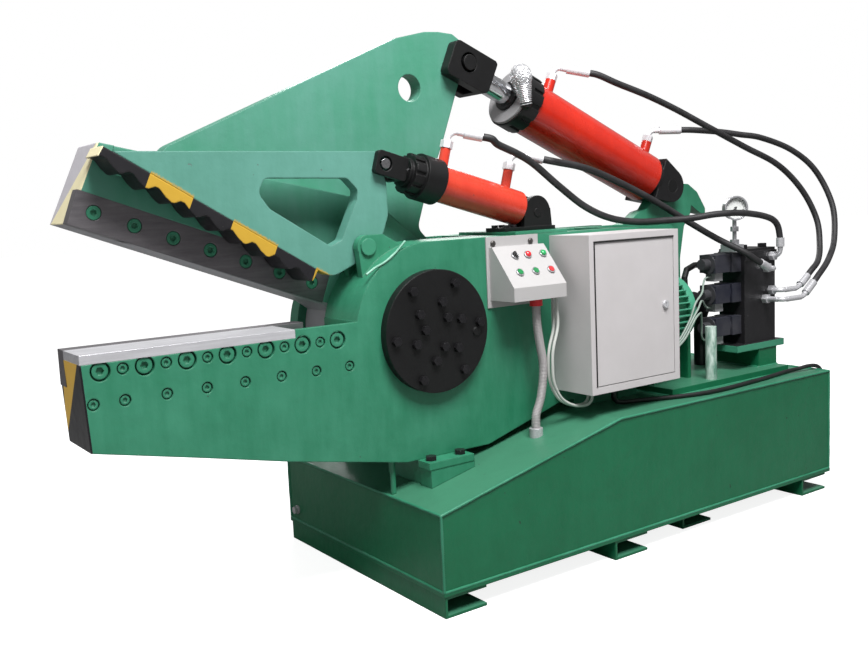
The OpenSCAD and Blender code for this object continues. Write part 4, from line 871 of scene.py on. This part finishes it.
class SHEAR_OT_cylinders(Build):
    """Red barrels, chrome rods, glands, zinc fittings and the foil-wrapped knob"""
    bl_idname = "shear.cylinders"
    bl_label = "Cylinders"

    def execute(self, context):
        red = enamel("red_enamel", paint().red, "#ad1d12", "#5b3a35", 0.26, 0.5, 0.15, None, 0.5)
        # The small barrel's paler, more orange red is painted light: a lit copy of the cylinders' red.
        orange = enamel("small_barrel_lit_enamel", "#d44530", "#bc3021", "#5b3a35", 0.26, 0.5, 0.15, None, 0.5)
        chrome = metal("hard_chrome", "#e8e9ec", "#c9cacd", 0.12, scale=30.0, dirt=0.1)
        zinc = metal("zinc_plate", "#f6f5f7", "#cdcbd0", 0.3, scale=160.0, metallic=0.25, dirt=0.15)
        heads = enamel("head_enamel", "#151416", "#0b0b0c", "#333231", 0.42, 0.15)
        wear(red, "main_barrel")
        wear(orange, "small_barrel")
        wear(chrome, "main_rod", "small_rod")
        wear(zinc, "main_hose_ends", "small_hose_ends")
        wear(heads, "main_cylinder_heads")
        # machined front of the gland
        front = swung(JAW_PIN, MAIN_TURN, MID_Y, (284, 0, 0))[0]
        along = (math.cos(MAIN_TURN), 0, math.sin(MAIN_TURN))
        ring = [(62.5, 0.5), (62.5, -0.8), (114.6, -0.8), (116.8, 1.2), (116.8, 11.5), (115.5, 11.5),
            (115.5, 0.5)]
        p, _ = turned(ring + ring[:1], at(front), along, 96)
        f = grid_faces(len(ring) + 1, 96, caps=False)
        turned_steel = metal("turned_steel", "#b9b8ba", "#8f8e90", 0.4, scale=120.0, metallic=0.3)
        disc = piece("gland_front", p, f, turned_steel, body="main_barrel_body", sharp=30)
        # cushion valve on the gland's rim, wrapped in foil
        base = swung(JAW_PIN, MAIN_TURN, MID_Y, (298, -112, -38))[0]
        lean = MAIN_TURN + math.radians(35)
        up = (-math.sin(lean), 0, math.cos(lean))
        folds = [(25 + 0.17 * h - 2.4 * (k % 2), h) for k, h in enumerate(np.linspace(0, 78, 23))]
        p, f = turned([(0.01, -4), (25, -4)] + folds + [(0.01, 80)], at(base), up, 40)
        foil = metal("crinkled_foil", "#f8f8fa", "#8f8f94", 0.2, scale=60.0, metallic=0.55, bump=0.002,
            dirt=0.0)
        piece("valve_stem", p, f, foil, body="main_barrel_body", sharp=30)
        round_r, round_h = 53, 106
        ball = [(round_r * math.sin(t), round_h - round_r * math.cos(t)) for t in np.linspace(0.5, 3.05, 34)]
        p, f = crinkled([(0.01, 56)] + ball + [(0.01, round_h + round_r)], at(base), up, 0.3, 7)
        piece("valve_foil", p, f, foil, body="main_barrel_body", smooth=False)
        return {"FINISHED"}


def slab(low, high):
    """A box between two corners in machine millimetres."""
    x, y, z = (axis.ravel() for axis in np.meshgrid(*zip(low, high), indexing="ij"))
    faces = [[0, 1, 3, 2], [4, 6, 7, 5], [0, 4, 5, 1], [2, 3, 7, 6], [0, 2, 6, 4], [1, 5, 7, 3]]
    return at(np.stack([x, y, z], 1)), faces


UPPER_ROW, LOWER_ROW = 142, 66


def on_face(x, up):
    """A place on the control box's sloped face, in machine millimetres."""
    return (x, FACE_AT[0] + up * math.cos(FACE_TURN), FACE_AT[1] + up * math.sin(FACE_TURN))


class SHEAR_OT_electrics(Build):
    """Cabinet, its lock and gear, and the control box with lamps, buttons and selector"""
    bl_idname = "shear.electrics"
    bl_label = "Cabinet and controls"

    def execute(self, context):
        coat = plastic("cabinet_powder_coat", paint().cabinet, 0.5)
        wear(coat, "cabinet_shell", "cabinet_door")
        wear(plastic("box_powder_coat", "#aeacac", 0.5, box_marks), "control_box")
        seals = [slab((786, 55.5, 1209), (1224, 58.5, 1216)), slab((786, 55.5, 668), (790.5, 58.5, 1209))]
        seal = piece("door_seal", *joined(*seals), plastic("seal_rubber", "#121213", 0.6), smooth=False)
        wear(plastic("switchgear_plastic", "#8d9196", 0.5), "cabinet_switchgear")
        wear(metal("lock_chrome", "#f2f2f5", "#b5b5b9", 0.2, metallic=0.4), "door_lock")
        wear(plastic("green_button_plastic", "#1c7d45", 0.3), "button_start", "button_up")
        wear(plastic("red_button_plastic", "#c0222a", 0.3), "button_stop")
        wear(plastic("selector_plastic", "#1b1b1d", 0.35), "selector")
        dome = [(0.01, 4), (11.4, 4), (11.4, 9), (10.7, 12), (8, 14.4), (4, 15.6), (0.01, 16)]
        normal = (0, -math.sin(FACE_TURN), math.cos(FACE_TURN))
        for hue, x, hex_code, glow in (("red", 605, "#d5232b", 0.25), ("green", 680, "#1f9a55", 0.15)):
            p, f = turned(dome, at(on_face(x, UPPER_ROW)), normal)
            lens = lamp_glass(f"{hue}_lens", hex_code, glow)
            piece(f"{hue}_lamp", p, f, lens, sharp=50)
        head = [(0.01, 0), (11, 0), (11, 5), (8, 8), (0.01, 9)]
        heads = [turned(head, at((x, 270, 1225)), (0, -1, 0), 24) for x in (478, 661)]
        dark = metal("screw_steel", "#6a6664", "#2a2827", 0.4, metallic=0.6)
        piece("flange_screws", *joined(*heads), dark, sharp=30)
        ring = [(12.6, 3.5), (16.2, 3.5), (16.2, 5.6), (15.2, 6.6), (12.9, 6.6), (12.6, 6.0), (12.6, 3.5)]
        steel = metal("bezel_chrome", "#dadadd", "#96969a", 0.22, metallic=0.5)
        places = [(x, UPPER_ROW) for x in (543, 605, 680)] + [(x, LOWER_ROW) for x in (524, 600, 676)]
        rings = [turned(ring, at(on_face(x, up)), normal)[0] for x, up in places]
        rings = [(p, grid_faces(len(ring), 48, caps=False)) for p in rings]
        piece("face_bezels", *joined(*rings), steel, sharp=35)
        return {"FINISHED"}


def box_marks(tree, where, colour):
    """The control box's cable gland is red plastic."""
    gland = both(tree, span(tree, where, 2, 900, 1014), span(tree, where, 1, 170, 230))
    return mix(tree, gland, colour, "#d6232b")


def valve_marks(tree, where, colour):
    """Each solenoid's plug is grey and its hand knob is dark steel."""
    for level in (780, 926, 1062):
        plug = both(tree, span(tree, where, 0, 1709, 1765), span(tree, where, 2, level - 79, level - 40.5))
        colour = mix(tree, plug, colour, "#8e8f91")
    return mix(tree, span(tree, where, 0, 1600, 1690), colour, "#3a3a3d")


GAUGE_AT = (1823.0, 225.0, 1303.0)
MARKS_R = 42


class SHEAR_OT_power(Build):
    """Pump, valve block, solenoid valves, pipes and the gauge with its dial"""
    bl_idname = "shear.power"
    bl_label = "Power pack"

    def execute(self, context):
        block = enamel("block_enamel", "#201f22", "#131214", "#4a494a", 0.45, 0.1, 0.4, base_marks)
        pipe = enamel("pipe_enamel", "#161516", "#0e0d0e", "#4a4948", 0.4, 0.3)
        wear(block, "manifold_block", "pump_set")
        wear(pipe, "hydraulic_pipes")
        wear(plastic("coil_plastic", "#1b1d2a", 0.38, valve_marks), "solenoid_valves")
        wear(fittings_finish(), "pipe_fittings")
        wear(metal("gauge_steel", "#d6d6d9", "#8d8d91", 0.2, metallic=0.5), "gauge_case")
        wear(plastic("needle_black", "#111111", 0.4), "gauge_needle")
        turn = math.radians(-28)
        facing = np.array((math.sin(turn), -math.cos(turn), 0.0))
        side, up = np.array((math.cos(turn), math.sin(turn), 0.0)), np.array((0, 0, 1))
        p, f = turned([(0.01, 8.2), (46.6, 8.2), (46.6, 8.8), (0.01, 8.8)], at(GAUGE_AT), facing, 64)
        piece("gauge_dial", p, f, plastic("dial_enamel", "#e4e6e4", 0.35), sharp=30)
        bars = []
        for k in range(41):
            t = math.radians(225 - 270 * k / 40)
            out, cross = side * math.cos(t) + up * math.sin(t), up * math.cos(t) - side * math.sin(t)
            long, wide = (9.0, 0.9) if k % 5 == 0 else (5.0, 0.45)
            inner = MARKS_R - long
            outline = ((inner, -wide), (MARKS_R, -wide), (MARKS_R, wide), (inner, wide))
            corners = [(out * r + cross * w + facing * h) / 1000 for h in (8.8, 9.1) for r, w in outline]
            walls = [[i, (i + 1) % 4, (i + 1) % 4 + 4, i + 4] for i in range(4)]
            bars.append((at(GAUGE_AT) + np.array(corners), [[3, 2, 1, 0], [4, 5, 6, 7]] + walls))
        marks = piece("gauge_marks", *joined(*bars), plastic("dial_ink", "#1a1a1c", 0.5), smooth=False)
        p, f = turned([(0.01, 19), (46.8, 19), (46.8, 21), (0.01, 21)], at(GAUGE_AT), facing, 64)
        piece("gauge_glass", p, f, clear("gauge_glass"), sharp=30)
        return {"FINISHED"}


def base_marks(tree, where, colour):
    """The valve block stands on a plate whose edges and feet are green; its top, at 690 mm, is black."""
    plate = both(tree, span(tree, where, 2, 500, 689.8), span(tree, where, 0, 1780, 2200))
    return mix(tree, plate, colour, paint().green)


def fittings_finish():
    """Zinc-plated fittings; the sight tube is pale green plastic and the tank's gland is grey."""
    made, tree, where = new_material("zinc_fittings")
    sight = both(tree, span(tree, where, 0, 1550, 1610), span(tree, where, 1, 135, 195))
    marks = noise(tree, where, 160.0, 5, 0.7)
    # Pale and dark vertical streaks on the sight tube are painted reflection, for the look of its clear wall.
    painted_reflection_streaks = ramp(tree, noise(tree, where, 30.0, 4, 0.6, (1.0, 1.0, 0.3)), [(0.35, 0.0), (0.6, 1.0)])
    _, rounded = edge_wear(tree, 0.002)
    colour = mix(tree, sight, mix(tree, marks, "#9c9b9f", "#dcdcdf"), mix(tree, painted_reflection_streaks, "#5f8a78", "#cfdcd5"))
    made_rough = plus(tree, times(tree, marks, 0.2), 0.2)
    shine = sums(tree, "SUBTRACT", 1.0, sight)
    plated = times(tree, shine, 0.4)
    finish_material(tree, colour, made_rough, (marks, 0.0003, rounded), Metallic=plated)
    return made


def bead(points, radius, seed):
    """A weld bead along machine points: a round whose width swells every 7 mm, as the pool was moved."""
    line, along = even_run(at(points), 0.0035)
    rng = np.random.default_rng(seed)
    stops = np.arange(0, along[-1] + 0.08, 0.04)
    slow = np.interp(along, stops, rng.uniform(0.85, 1.15, len(stops)))
    r = radius * slow * (0.86 + 0.14 * np.abs(np.sin(math.pi * along / 0.007)))
    p, f, _ = tube(line, r, 10)
    return p, f


class SHEAR_OT_welds(Build):
    """Weld beads along the seams of the tank, the deck and the frame"""
    bl_idname = "shear.welds"
    bl_label = "Weld beads"

    def execute(self, context):
        r = sizes().weld_r
        seams = [
            [(0, 0, 90), (0, 0, 357), (850, 0, 545), (2200, 0, 545), (2200, 1100, 545), (850, 1100, 545),
                (0, 1100, 357), (0, 1100, 90)],
            [(0, 0, 357), (0, 1100, 357)],
            [(2200, 0, 90), (2200, 0, 545)],
            [(2200, 1100, 90), (2200, 1100, 545)],
            [(0, 0, 91), (2200, 0, 91), (2200, 1100, 91), (0, 1100, 91), (0, 0, 91)],
            [(1290, 130, 545), (2080, 130, 545), (2080, 560, 545), (1290, 560, 545), (1290, 130, 545)],
            [(1946, 190, 575), (2076, 190, 575), (2076, 430, 575), (1946, 430, 575), (1946, 190, 575)],
        ]
        beads = [bead(line, r, k) for k, line in enumerate(seams)]
        green = enamel("bead_enamel", paint().green, paint().green_deep, "#3a4a43", wavy=0.3)
        piece("tank_welds", *joined(*beads), green)
        arc = [(-71, 275, 1152), (-34, 275, 1173), (7, 275, 1190), (50, 275, 1218), (94, 275, 1257)]
        # The lug's bead is painted a pale green: a painted highlight for the light along its top.
        pale = enamel("lug_bead_painted_highlight", "#7fb09c", paint().green, "#3a4a43", wavy=0.3)
        p, f = bead(smooth_run(arc, 6), r * 0.8, 50)
        piece("lug_weld", p, f, pale)
        return {"FINISHED"}


STEPS = (SHEAR_OT_stage, SHEAR_OT_hoses, SHEAR_OT_cables, SHEAR_OT_supply, SHEAR_OT_enamel, SHEAR_OT_steel,
    SHEAR_OT_cylinders, SHEAR_OT_electrics, SHEAR_OT_power, SHEAR_OT_welds)


class SHEAR_PT_panel(bpy.types.Panel):
    """The steps of the finish, in order, with the sizes and colours they use"""
    bl_label = "Alligator shear"
    bl_idname = "SHEAR_PT_panel"
    bl_space_type = "VIEW_3D"
    bl_region_type = "UI"
    bl_category = "Shear"

    def draw(self, context):
        for step in STEPS:
            self.layout.operator(step.bl_idname)
        for group in (context.scene.shear_paint, context.scene.shear_sizes, context.scene.shear_stage):
            for key in group.bl_rna.properties.keys():
                if key not in ("rna_type", "name"):
                    self.layout.prop(group, key)


CLASSES = (ShearPaint, ShearSizes, ShearStage, *STEPS, SHEAR_PT_panel)


def register():
    for item in CLASSES:
        bpy.utils.register_class(item)
    bpy.types.Scene.shear_paint = bpy.props.PointerProperty(type=ShearPaint)
    bpy.types.Scene.shear_sizes = bpy.props.PointerProperty(type=ShearSizes)
    bpy.types.Scene.shear_stage = bpy.props.PointerProperty(type=ShearStage)


def unregister():
    del bpy.types.Scene.shear_stage, bpy.types.Scene.shear_sizes, bpy.types.Scene.shear_paint
    for item in reversed(CLASSES):
        bpy.utils.unregister_class(item)


def main():
    register()
    for step in STEPS:
        group, name = step.bl_idname.split(".")
        getattr(getattr(bpy.ops, group), name)()


if __name__ == "__main__":
    main()
